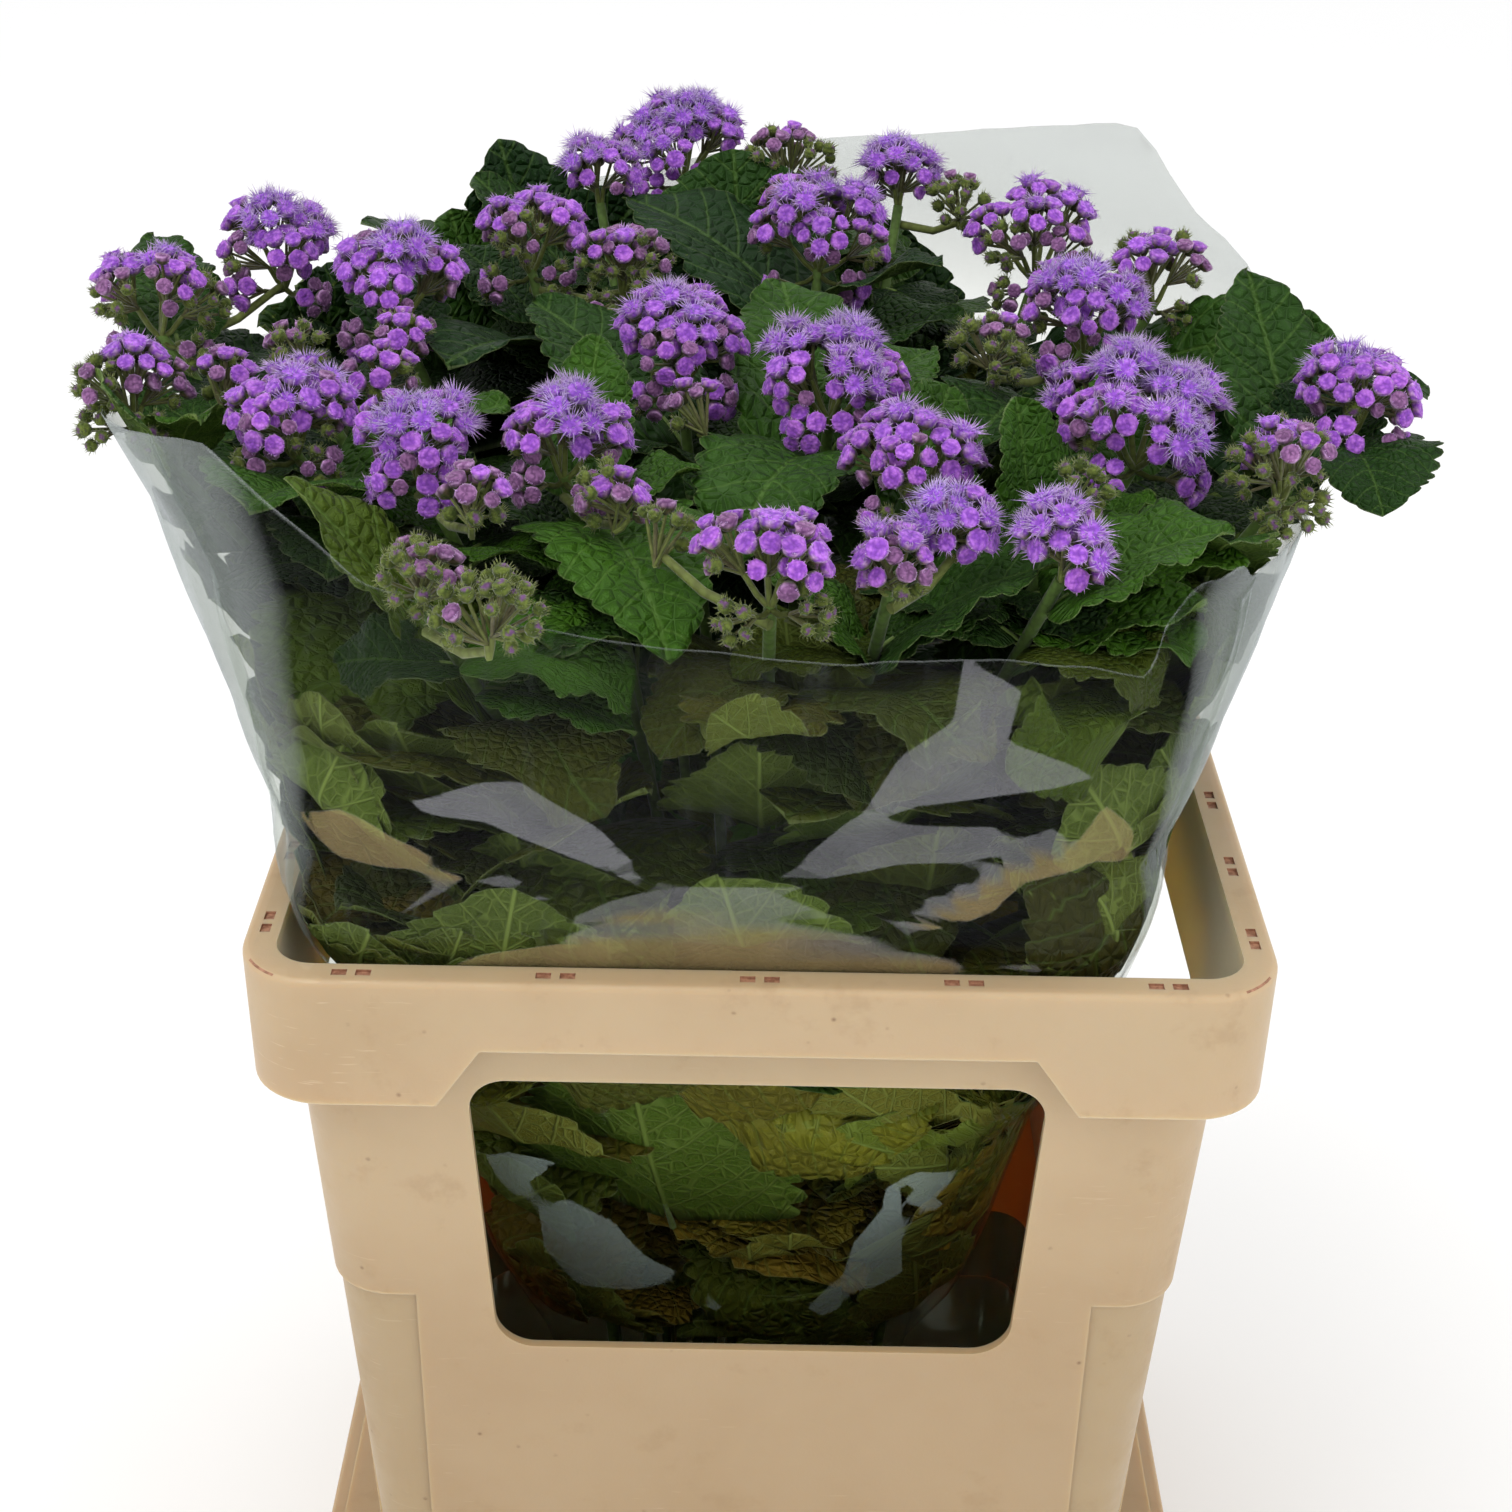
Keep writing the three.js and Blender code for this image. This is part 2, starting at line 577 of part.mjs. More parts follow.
// A domed cluster over a small core. The surface is shared out between the heads, so that they
// cover it, and each share is raised to a button: dimpled, or ragged with a high middle where open.
function clusterSolid([x, y, rise, radius, open], seed) {
  const count = Math.max(Math.round(HEADS * (radius / CLUSTER_RADIUS) ** 2), LEAST_HEADS);
  const directions = headDirections(count, seed);
  const hull = new ConvexHull().setFromPoints(directions);
  const core = radius * CORE_SHARE;
  const onCore = (direction) => new THREE.Vector3(direction.x, direction.y, direction.z * CORE_FLATNESS)
    .multiplyScalar(core);
  const around = directions.map(() => []);
  const valleys = hull.faces.map((face, index) => {
    const corners = [face.edge, face.edge.next, face.edge.next.next].map((edge) => edge.head().point);
    corners.forEach((corner) => around[directions.indexOf(corner)].push(index));
    return onCore(corners.reduce((sum, corner) => sum.add(corner), new THREE.Vector3()).normalize());
  });
  const points = [...valleys];
  const triangles = [];
  directions.forEach((direction, i) => {
    const base = onCore(direction);
    const east = new THREE.Vector3(-direction.y, direction.x + 1e-3, 0).normalize();
    const north = direction.clone().cross(east);
    const bearing = (v) => Math.atan2(v.clone().sub(base).dot(north), v.clone().sub(base).dot(east));
    const loop = around[i].sort((a, b) => bearing(valleys[a]) - bearing(valleys[b]));
    const underside = i === count;
    const isOpen = (i * 0.618 + draw(seed)) % 1 < open;
    const facing = new THREE.Vector3(direction.x, direction.y, direction.z / CORE_FLATNESS).normalize();
    const height = underside ? 0 : radius - core + 1.5 * draw(seed * 31 + i);
    const ring = loop.map((valley, k) => {
      if (underside) return valley;
      const lift = height * (isOpen && k % 2 === 1 ? OPEN_NOTCH : 1);
      points.push(valleys[valley].clone().lerp(base, HEAD_GROOVE).addScaledVector(facing, lift));
      return points.length - 1;
    });
    points.push(base.addScaledVector(facing, underside ? 0 : height + (isOpen ? OPEN_RISE : HEAD_DIMPLE)));
    const middle = points.length - 1;
    loop.forEach((valley, k) => {
      const next = (k + 1) % loop.length;
      triangles.push([ring[k], ring[next], middle]);
      if (!underside) triangles.push([valley, loop[next], ring[next]], [valley, ring[next], ring[k]]);
    });
  });
  return fromFaces(points, triangles).translate([x, y, COLLAR_TOP + rise]);
}

function makeBloom(index) {
  const clusters = STEMS[index];
  const solids = clusters.map((cluster, i) => clusterSolid(cluster, index * 3 + i));
  const place = ([x, y, rise]) => new THREE.Vector3(x, y, COLLAR_TOP + rise);
  for (let i = 1; i < clusters.length; i += 1) {
    solids.push(tube([place(clusters[0]), place(clusters[i])], STEM_RADIUS, STEM_SIDES));
  }
  return joined(solids);
}

function overlaps(box, other) {
  return box.min.every((low, k) => low < other.max[k] && other.min[k] < box.max[k]);
}

// Lays the leaves one by one, each where a thicker and longer copy of it is clear of all the rest.
function layLeaves(fixed) {
  const taken = fixed.map((piece) => ({ ...piece, box: piece.solid.boundingBox() }));
  const leaves = STEMS.map(() => []);
  const place = (stem, height, leaf) => {
    const base = stalkPoint(stem, height);
    const found = LEAF_TRIES.map(([turn, rise, size]) => ({
      ...leaf,
      azimuth: leaf.azimuth + THREE.MathUtils.degToRad(turn),
      rise: leaf.rise + THREE.MathUtils.degToRad(rise),
      length: leaf.length * size,
      width: leaf.width * size,
    })).find((tried) => {
      const blade = leafSolid(base, tried, LEAF_CLEARANCE, BLADE_START);
      const whole = leafSolid(base, tried, LEAF_CLEARANCE);
      const box = whole.boundingBox();
      return !taken.some((piece) => overlaps(box, piece.box)
        && !(piece.stem === stem ? blade : whole).intersect(piece.solid).isEmpty());
    });
    if (!found) return;
    const solid = leafSolid(base, found);
    leaves[stem].push(solid);
    taken.push({ solid, stem, box: solid.boundingBox() });
  };
  const radians = THREE.MathUtils.degToRad;
  SHOWN_LEAVES.forEach(([stem, height, azimuth, rise, arch, length, width, roll]) => {
    place(stem - 1, COLLAR_TOP + height, {
      azimuth: radians(azimuth), rise: radians(rise), arch: radians(arch), roll: radians(roll), length, width,
    });
  });
  LEAF_PAIRS.forEach(([depth, spread, rise, arch, length, width, leastOut, share], pair) => {
    STEMS.forEach(([main], stem) => {
      if (Math.hypot(main[0] / BUNDLE_HALF[0], main[1] / BUNDLE_HALF[1]) < leastOut) return;
      if (draw(stem * 3 + pair * 11) > share) return;
      const outward = Math.atan2(main[1], main[0]) + PAIR_TWIST * (draw(stem * 7 + pair) - 0.5);
      [-1, 1].forEach((side) => {
        const size = 0.85 + 0.3 * draw(stem * 13 + pair * 5 + side);
        place(stem, clusterUnderside(main) - depth, {
          azimuth: outward + side * radians(spread),
          rise: radians(rise),
          arch: radians(arch),
          roll: 0,
          length: length * size,
          width: width * size,
        });
      });
    });
  });
  return leaves;
}

function makeWater() {
  const skirtZ = BUCKET_TOP - BUCKET_SKIRT;
  const low = BUCKET_FLOOR + SEAT;
  const inset = (z) => wallInset(z, skirtZ) + WALL + SEAT;
  const water = loft([low, WATER_TOP].map((z) => ring(inset(z), WALL_RADIUS - WALL, z)));
  const holes = FEET.map((foot) => {
    const ends = [low - 1, WATER_TOP + 1].map((z) => new THREE.Vector3(foot.x, foot.y, z));
    return tube(ends, STEM_RADIUS + WATER_HOLE, STEM_SIDES);
  });
  return water.subtract(joined(holes));
}

function filmSection(z) {
  const last = FILM_SECTIONS.length - 1;
  let i = 0;
  while (i < last - 1 && FILM_SECTIONS[i + 1][0] < z) i += 1;
  const [low, high] = [FILM_SECTIONS[i], FILM_SECTIONS[i + 1]];
  const share = (z - low[0]) / (high[0] - low[0]);
  return low.map((value, k) => value + (high[k] - value) * share);
}

function filmPoint(side, z, inset) {
  const [, left, right, front, back, squareness] = filmSection(z);
  const turn = side * 2 * Math.PI / FILM_SIDES;
  const cos = Math.cos(turn);
  const sin = Math.sin(turn);
  const power = (value) => Math.sign(value) * Math.abs(value) ** (2 / squareness);
  const reachX = cos > 0 ? right - inset : -left - inset;
  const reachY = sin > 0 ? back - inset : -front - inset;
  return new THREE.Vector3(reachX * power(cos), reachY * power(sin), z);
}

function filmEdge(side) {
  const count = FILM_EDGE.length;
  const place = THREE.MathUtils.euclideanModulo(side / FILM_SIDES - FILM_EDGE_START / 360, 1) * count;
  const low = Math.floor(place) % count;
  return THREE.MathUtils.lerp(FILM_EDGE[low], FILM_EDGE[(low + 1) % count], place - Math.floor(place));
}

// The sleeve: a thin open cone, its outside and inside rings joined round both ends.
function makeSleeve() {
  const heights = FILM_SECTIONS.map(([z]) => z).filter((z) => z < 520);
  const points = [];
  [0, FILM].forEach((inset) => {
    [...heights, null].forEach((height) => {
      for (let side = 0; side < FILM_SIDES; side += 1) {
        points.push(filmPoint(side, height ?? filmEdge(side), inset));
      }
    });
  });
  const levels = heights.length + 1;
  const triangles = [];
  const strip = (low, high) => {
    for (let i = 0; i < FILM_SIDES; i += 1) {
      const next = (i + 1) % FILM_SIDES;
      const [a, b] = [low * FILM_SIDES + i, low * FILM_SIDES + next];
      const [c, d] = [high * FILM_SIDES + i, high * FILM_SIDES + next];
      triangles.push([a, b, d], [a, d, c]);
    }
  };
  for (let level = 0; level < levels - 1; level += 1) {
    strip(level, level + 1);
    strip(levels + level + 1, levels + level);
  }
  strip(levels - 1, 2 * levels - 1);
  strip(levels, 0);
  return joined([fromFaces(points, triangles), ...SEAM_SIDES.map(makeSeam)]);
}

// One side seam: a flat strip that stands out from the sleeve, wider towards the mouth.
function makeSeam(side) {
  const [[low, narrow], [middle, medium], [high, wide]] = SEAM_FLAPS;
  const points = [];
  [low, 395, middle, 500, filmEdge(side)].forEach((z) => {
    const reach = z < middle
      ? THREE.MathUtils.mapLinear(z, low, middle, narrow, medium)
      : THREE.MathUtils.mapLinear(z, middle, high, medium, wide);
    const root = filmPoint(side, z, FILM / 2);
    const outward = root.clone().setZ(0).normalize();
    points.push(root, root.clone().addScaledVector(outward, reach));
  });
  const faces = [];
  for (let i = 0; i < points.length - 2; i += 2) {
    faces.push([i, i + 1, i + 3], [i, i + 3, i + 2]);
  }
  return thickened(points, faces, FILM);
}

const group = new THREE.Group();

function addMesh(name, solid, color, roughness, extra = {}) {
  const material = new THREE.MeshStandardMaterial({ color, roughness, metalness: 0, ...extra });
  const mesh = new THREE.Mesh(toGeometry(solid), material);
  mesh.name = name;
  group.add(mesh);
}

addMesh('bucket', makeBucket(), CREAM, 0.5);
addMesh('collar', makeCollar(), CREAM, 0.5);
addMesh('water', makeWater(), new THREE.Color(0xbfd4cf), 0.05);
const sleeve = makeSleeve();
addMesh('sleeve', sleeve, new THREE.Color(0xdfe6e4), 0.1);
const stalks = STALKS.map((points) => tube(points, STEM_RADIUS, STEM_SIDES));
const blooms = STEMS.map((_, stem) => makeBloom(stem));
const leaves = layLeaves([
  { solid: sleeve },
  ...stalks.map((solid, stem) => ({ solid, stem })),
  ...blooms.map((solid) => ({ solid })),
]);
STEMS.forEach((_, stem) => {
  const number = String(stem + 1).padStart(2, '0');
  addMesh(`stem_${number}`, joined([stalks[stem], ...leaves[stem]]), GREEN_STEM, 0.6);
  addMesh(`bloom_${number}`, blooms[stem], new THREE.Color(0x9468d8), 0.8);
});

export default group;
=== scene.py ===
"""Cut ageratum in a clear film sleeve, standing in a cream flower bucket with a windowed collar."""

import math

import bmesh
import bpy
import numpy as np
from mathutils import Matrix, Vector
from mathutils.kdtree import KDTree


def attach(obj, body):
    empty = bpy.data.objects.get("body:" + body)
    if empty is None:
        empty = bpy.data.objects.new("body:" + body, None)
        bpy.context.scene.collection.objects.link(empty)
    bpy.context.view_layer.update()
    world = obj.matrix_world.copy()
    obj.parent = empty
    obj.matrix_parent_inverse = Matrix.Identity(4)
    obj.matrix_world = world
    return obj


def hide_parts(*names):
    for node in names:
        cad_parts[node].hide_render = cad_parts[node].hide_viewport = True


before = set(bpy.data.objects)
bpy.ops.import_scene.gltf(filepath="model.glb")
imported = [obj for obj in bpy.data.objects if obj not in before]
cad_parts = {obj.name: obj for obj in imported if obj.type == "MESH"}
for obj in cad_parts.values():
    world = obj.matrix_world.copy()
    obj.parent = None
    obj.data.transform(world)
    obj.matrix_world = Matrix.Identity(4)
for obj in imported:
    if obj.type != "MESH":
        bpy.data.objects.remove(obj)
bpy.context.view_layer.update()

MM = 0.001
GOLDEN = math.pi * (3 - math.sqrt(5))

# ---------------------------------------------------------------- the part's own dimensions, in mm

SEAT = 0.3  # gap between two pieces that rest on each other
CUT = 1  # by which a cutter runs past what it cuts

# The bucket's and the collar's rims and walls.
RIM_HALF = (150, 200)  # across and deep
RIM_RADIUS = 23  # of the corners
RIM_FACE = 10  # from the outer to the inner edge
RIM_BEVEL = 2
SKIRT_WALL = 3
SKIRT_LEAN = 0.6  # by which a skirt's lower edge stands in
WALL = 3
WALL_INSET = 12  # of the wall under the skirt
WALL_RADIUS = 20
NECK_HEIGHT = 12  # over which the wall flares out to the rim
NECK_RADIUS = 16
MOUTH_RADIUS = 12  # of the rim's inner edge
MOUTH_DEPTH = 4
DRAFT = math.tan(math.radians(3.3))
ARC_STEPS = 12  # along each corner

BUCKET_TOP = 165
BUCKET_SKIRT = 30
BUCKET_FLOOR = 3
WATER_TOP = 66
WATER_HOLE = 0.36  # room round each stem

COLLAR_TOP = 440
COLLAR_SKIRT = 42.5  # at the corners
COLLAR_SKIRT_MIDDLE = 23  # between them
SKIRT_SLOPE = 14
SKIRT_CORNER = 56
COLLAR_FLANGE = (6, 4)  # inset and thickness of the foot that rests on the bucket
COLLAR_SPIGOT = (2.2, 12)  # clearance in the bucket's mouth, and depth
POST_STEP_Z = 314  # under which the corner posts are slimmer
POST_STEP = 1.6
POST_WIDTH = 45
WINDOW_Z = (293, 399)
WINDOW_MARGIN = 64
WINDOW_TAPER = 0.055
WINDOW_RADIUS = 12
MARK_INSET = 5.6
MARK_PITCH = (58.06, 42)
MARK_COUNT = (5, 9)
MARK_SIZE = (4.4, 3.0, 0.8)
MARK_GAP = 6.9  # between the two slots of a pair

FILM_SIDES = 28
# The sleeve's sections: height, reach to the left, right, front and back, and how square it is.
FILM_SECTIONS = [
    [84, -60, 50, -60, 58, 2],
    [190, -88, 66, -92, 74, 2.4],
    [240, -104, 88, -114, 90, 3],
    [340, -120, 103, -146, 120, 4],
    [395, -129, 112, -168, 143, 8],
    [440, -139.7, 116, -189.7, 164, 11],
    [462, -154, 129, -193.5, 172, 4.6],
    [490, -177, 153, -198, 182, 2.9],
    [536, -205, 179, -204, 197, 2.05],
    [590, -236, 208, -210, 214, 1.85],
]
# The sleeve's mouth: degrees round from its right side, and height.
FILM_EDGE = [
    (0, 531), (15, 545), (28, 564), (38, 572), (43, 581), (50, 598), (65, 587), (77, 580), (116, 561),
    (126, 557), (133, 551), (150, 532), (173, 536), (201, 562), (213, 571), (225, 581), (238, 553),
    (248, 549), (265, 548), (288, 541), (297, 532), (303, 525), (305, 542), (307, 549), (314, 546),
    (327, 532),
]
SEAM_SIDES = (17, 25)  # the sides that the two seams are on
SEAM_FLAPS = ((340, 2), (440, 5), (600, 15))  # height, and width of the flap there

# The clusters on each stem: x, y, height over the rim, radius and ripeness.
STEMS = [
    [[-206, 22, 128, 24, 0.64], [-171, 64, 133, 24, 0.86]],
    [[-198, -56, 125, 21, 0.56], [-171, -46, 123, 13, 0.5]],
    [[-128, 36, 131, 26, 0.84], [-122, -2, 121, 14, 0.5]],
    [[-151, -20, 124, 15, 0.38], [-123, -40, 121, 14, 0.52]],
    [[-144, -77, 124, 23, 0.76]],
    [[-104, -98, 125, 20, 1.05], [-84, -136, 120, 14, 0.62]],
    [[-92, -180, 117, 16, 0.45], [-73, -199, 114, 17, 0.2]],
    [[-61, -95, 125, 22, 0.82], [-44, -127, 118, 13, 0.5]],
    [[-86, 84, 133, 24, 0.7], [-52, 62, 130, 19, 0.5]],
    [[-65, 146, 137, 18, 0.95]],
    [[-35, 190, 140, 27, 1.0]],
    [[6, 166, 139, 20, 0.34]],
    [[48, 150, 137, 18, 0.95], [70, 132, 134, 14, 0.34]],
    [[17, 96, 134, 28, 0.86]],
    [[-29, -16, 129, 25, 0.82], [-22, -56, 121, 12, 0.42]],
    [[19, -43, 127, 25, 1.0]],
    [[95, 86, 134, 26, 0.68]],
    [[133, 54, 132, 19, 0.58]],
    [[105, 14, 131, 24, 0.95], [72, -14, 126, 16, 0.34]],
    [[112, -73, 127, 29, 1.05]],
    [[152, -98, 122, 20, 0.54]],
    [[43, -105, 123, 23, 0.8]],
    [[1, -172, 120, 22, 0.62], [-30, -148, 118, 12, 0.24]],
    [[34, -166, 118, 13, 0.66], [52, -150, 121, 14, 1.1]],
    [[81, -160, 120, 16, 0.86]],
    [[88, -122, 121, 12, 0.22]],
    [[182, -52, 127, 21, 0.95]],
]
STEM_RADIUS = 2.5
STEM_RINGS = (280, 400, 480)  # heights at which a stem bends
FAN_START = 66  # up to which the stems stand upright
FAN_POWER = 2.6
FOOT_SCALE = 0.24  # of the tops' plan at the feet
FOOT_SPACING = 8
STALK = 28  # the last stretch of a stem, under its cluster
STALK_LEAN = 0.09
CORE_SHARE = 0.8  # of a cluster's radius
CORE_FLATNESS = 0.66
UNDERSIDE_SLOPE = 0.16  # how fast a cluster's underside rises round its stem
BLADE = 0.8  # thickness of a leaf in the frame

# The frame's leaves. Those that show: stem, height of the foot over the rim, azimuth, rise, arch, length,
# width and roll, with the angles in degrees.
SHOWN_LEAVES = [
    [14, 95, 145, 55, 40, 95, 64, 0], [9, 85, -110, 40, 45, 95, 58, 0], [15, 90, 140, 40, 30, 80, 54, 0],
    [16, 92, 100, 35, 20, 90, 52, 0], [16, 95, -110, 50, 80, 90, 52, 0], [22, 92, 75, 35, 20, 70, 40, 50],
    [26, 85, 170, 75, 10, 65, 46, 0], [26, 100, 60, 40, 30, 42, 36, 0], [25, 95, 20, 45, 40, 60, 50, 0],
    [25, 70, -60, 40, 30, 80, 46, 0], [27, 95, 100, 35, 0, 85, 42, 0], [27, 110, -85, 50, 60, 62, 58, 0],
    [27, 105, 40, 45, 30, 45, 44, 0], [18, 95, -40, 35, 30, 90, 36, 40], [21, 75, -75, 50, 30, 65, 38, 0],
    [5, 90, -105, 45, 50, 65, 60, 0], [7, 55, -170, 55, 10, 95, 46, 0], [7, 85, -20, 25, 90, 55, 56, 0],
    [8, 90, -70, 35, 80, 95, 52, 0], [8, 85, -90, 35, 60, 80, 38, 50], [19, 90, -115, 60, 70, 80, 52, 0],
    [20, 100, 95, 45, 10, 55, 34, 0], [2, 95, -80, 65, 50, 42, 32, 0], [14, 100, -30, 45, 30, 60, 42, 0],
    [12, 110, -25, 65, 20, 50, 36, 0], [1, 105, 90, 30, 20, 70, 36, 0], [3, 105, 110, 30, 20, 60, 34, 0],
    [9, 100, 140, 30, 10, 50, 38, 0], [16, 95, 30, 50, 50, 60, 42, 0], [5, 92, 15, 45, 40, 65, 44, 0],
    [8, 100, 85, 35, 0, 65, 30, 0], [8, 95, 0, 40, 30, 42, 32, 0], [7, -35, -105, 10, -70, 105, 76, 0],
    [25, -35, -85, 10, -70, 105, 74, 0], [25, -70, -50, 10, -60, 100, 60, 0],
    [24, 0, -65, 15, -65, 95, 66, 0], [5, 60, -90, 10, 40, 100, 70, 0], [5, -60, -125, 10, -50, 100, 66, 0],
    [23, 10, -110, 15, -65, 80, 60, 0], [22, 30, -100, 15, -50, 95, 56, 0],
    [21, 10, -85, 20, -55, 80, 54, 0], [23, -165, -95, 5, -75, 104, 92, 0],
    [7, -170, -125, 10, -65, 90, 60, 0], [25, -170, -55, 10, -65, 90, 58, 0],
    [24, -220, -75, 10, -60, 70, 54, 0], [25, -230, -35, 15, -45, 75, 48, 0],
]
# Pairs down each stem: depth under the cluster, spread, rise, arch, length, width, how far out in the
# bunch a stem has to stand, and the share of the stems that bear them.
LEAF_PAIRS = [
    [80, 45, 25, -45, 80, 58, 0.62, 0.42],
    [150, 40, 18, -55, 88, 62, 0.66, 0.4],
    [240, 35, 12, -60, 84, 58, 0.7, 0.3],
    [36, 90, 40, 45, 56, 42, 0, 0.2],
]
BUNDLE_HALF = (205, 195)
PAIR_TWIST = 0.7
# What was tried in turn until a leaf lay clear: added turn and rise in degrees, and size.
LEAF_TRIES = [
    [0, 0, 1], [18, 0, 1], [-18, 0, 1], [0, 14, 1], [0, -14, 1], [34, 8, 0.9], [-34, 8, 0.9],
    [0, 24, 0.8], [50, 0, 0.8], [-50, 0, 0.8], [0, -28, 0.8], [0, 30, 0.65],
]


def draw(seed):
    """The frame's own repeatable draw between 0 and 1."""
    value = math.sin(seed * 12.9898) * 43758.5453
    return value - math.floor(value)


def unit(vectors):
    vectors = np.asarray(vectors, float)
    return vectors / np.maximum(np.linalg.norm(vectors, axis=-1, keepdims=True), 1e-9)


# ---------------------------------------------------------------- mesh helpers


class Batch:
    """Gathers the faces of one piece: points in mm, faces, a tint for each point and a material slot."""

    def __init__(self):
        self.points, self.tints, self.spots = [], [], []
        self.quads, self.tris, self.quad_slots, self.tri_slots = [], [], [], []
        self.count = 0

    def add(self, points, faces, slots, tints, spots=None):
        points = np.asarray(points, float)
        faces = np.asarray(faces, int)
        slots = np.broadcast_to(np.asarray(slots, int), len(faces))
        self.points.append(points)
        self.tints.append(np.broadcast_to(np.asarray(tints, float), (len(points), 4)))
        self.spots.append(np.zeros((len(points), 3)) if spots is None else np.asarray(spots, float))
        if faces.shape[1] == 4:
            self.quads.append(faces + self.count)
            self.quad_slots.append(slots)
        else:
            self.tris.append(faces + self.count)
            self.tri_slots.append(slots)
        self.count += len(points)

    def add_tube(self, route, radii, sides, slot, tint):
        points, quads, caps = tube_mesh(route, radii, sides)
        self.add(points, quads, slot, tint)
        self.add(points, caps, slot, tint)

    def build(self, name, materials):
        quads = np.concatenate(self.quads) if self.quads else np.zeros((0, 4), int)
        tris = np.concatenate(self.tris) if self.tris else np.zeros((0, 3), int)
        slots = np.concatenate([*self.quad_slots, *self.tri_slots])
        points = np.concatenate(self.points) * MM
        mesh = bpy.data.meshes.new(name)
        mesh.vertices.add(len(points))
        mesh.vertices.foreach_set("co", points.astype(np.float32).ravel())
        loops = np.concatenate([quads.ravel(), tris.ravel()])
        totals = np.concatenate([np.full(len(quads), 4), np.full(len(tris), 3)])
        mesh.loops.add(len(loops))
        mesh.loops.foreach_set("vertex_index", loops.astype(np.int32))
        mesh.polygons.add(len(totals))
        starts = np.concatenate([[0], np.cumsum(totals)[:-1]])
        mesh.polygons.foreach_set("loop_start", starts.astype(np.int32))
        mesh.polygons.foreach_set("material_index", slots.astype(np.int32))
        mesh.polygons.foreach_set("use_smooth", np.ones(len(totals), bool))
        mesh.update(calc_edges=True)
        tint = mesh.attributes.new("tint", "FLOAT_COLOR", "POINT")
        tint.data.foreach_set("color", np.concatenate(self.tints).astype(np.float32).ravel())
        spot = mesh.attributes.new("spot", "FLOAT_VECTOR", "POINT")
        spot.data.foreach_set("vector", np.concatenate(self.spots).astype(np.float32).ravel())
        mesh.validate()
        return place(name, mesh, materials)


def place(name, mesh, materials=()):
    """A new object in the scene for a mesh."""
    for material in materials:
        mesh.materials.append(material)
    piece = bpy.data.objects.new(name, mesh)
    bpy.context.scene.collection.objects.link(piece)
    return piece


def grid_faces(rows, columns, start=0, closed=False, flip=False):
    """Quads of a grid of points laid out row by row."""
    across = columns if closed else columns - 1
    r, c = np.meshgrid(np.arange(rows - 1), np.arange(across), indexing="ij")
    n = (c + 1) % columns
    quads = np.stack([r * columns + c, r * columns + n, (r + 1) * columns + n, (r + 1) * columns + c], -1)
    quads = quads.reshape(-1, 4) + start
    return quads[:, ::-1] if flip else quads


def tube_mesh(route, radii, sides):
    """A closed round tube along a route, with pointed caps."""
    route = np.asarray(route, float)
    radii = np.broadcast_to(np.asarray(radii, float), len(route))
    along = unit(np.gradient(route, axis=0))
    first = unit(np.cross(along, (1.0, 0.2, 0.1)))
    second = np.cross(along, first)
    turn = np.arange(sides) * 2 * math.pi / sides
    rings = (route[:, None, :] + radii[:, None, None] * (
        np.cos(turn)[None, :, None] * first[:, None, :] + np.sin(turn)[None, :, None] * second[:, None, :]))
    points = np.concatenate([rings.reshape(-1, 3), route[:1], route[-1:]])
    ring = np.arange(sides)
    nxt, last, foot = (ring + 1) % sides, (len(route) - 1) * sides, len(route) * sides
    caps = np.concatenate([np.stack([nxt, ring, np.full(sides, foot)], -1),
                           np.stack([last + ring, last + nxt, np.full(sides, foot + 1)], -1)])
    return points, grid_faces(len(route), sides, closed=True), caps


def sheet_faces(rows, columns, closed=False):
    """Faces of a thin sheet whose lower side's points follow the upper side's, with its edges."""
    n = rows * columns
    top = grid_faces(rows, columns, closed=closed)
    under = grid_faces(rows, columns, start=n, closed=closed, flip=True)
    across, last = np.arange(columns), (rows - 1) * columns
    if closed:
        nxt = (across + 1) % columns
        low = np.stack([across, across + n, nxt + n, nxt], -1)
        high = np.stack([last + across, last + nxt, last + nxt + n, last + across + n], -1)
        return np.concatenate([top, under, low, high])
    loop = np.concatenate([across, np.arange(1, rows) * columns + columns - 1,
                           last + np.arange(columns - 2, -1, -1), np.arange(rows - 2, 0, -1) * columns])
    nxt = np.roll(loop, -1)
    return np.concatenate([top, under, np.stack([loop, loop + n, nxt + n, nxt], -1)])


def stand_for(piece, node):
    """A piece rides on the part's one body, in place of a node."""
    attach(piece, "root")
    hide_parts(node)


# ---------------------------------------------------------------- materials


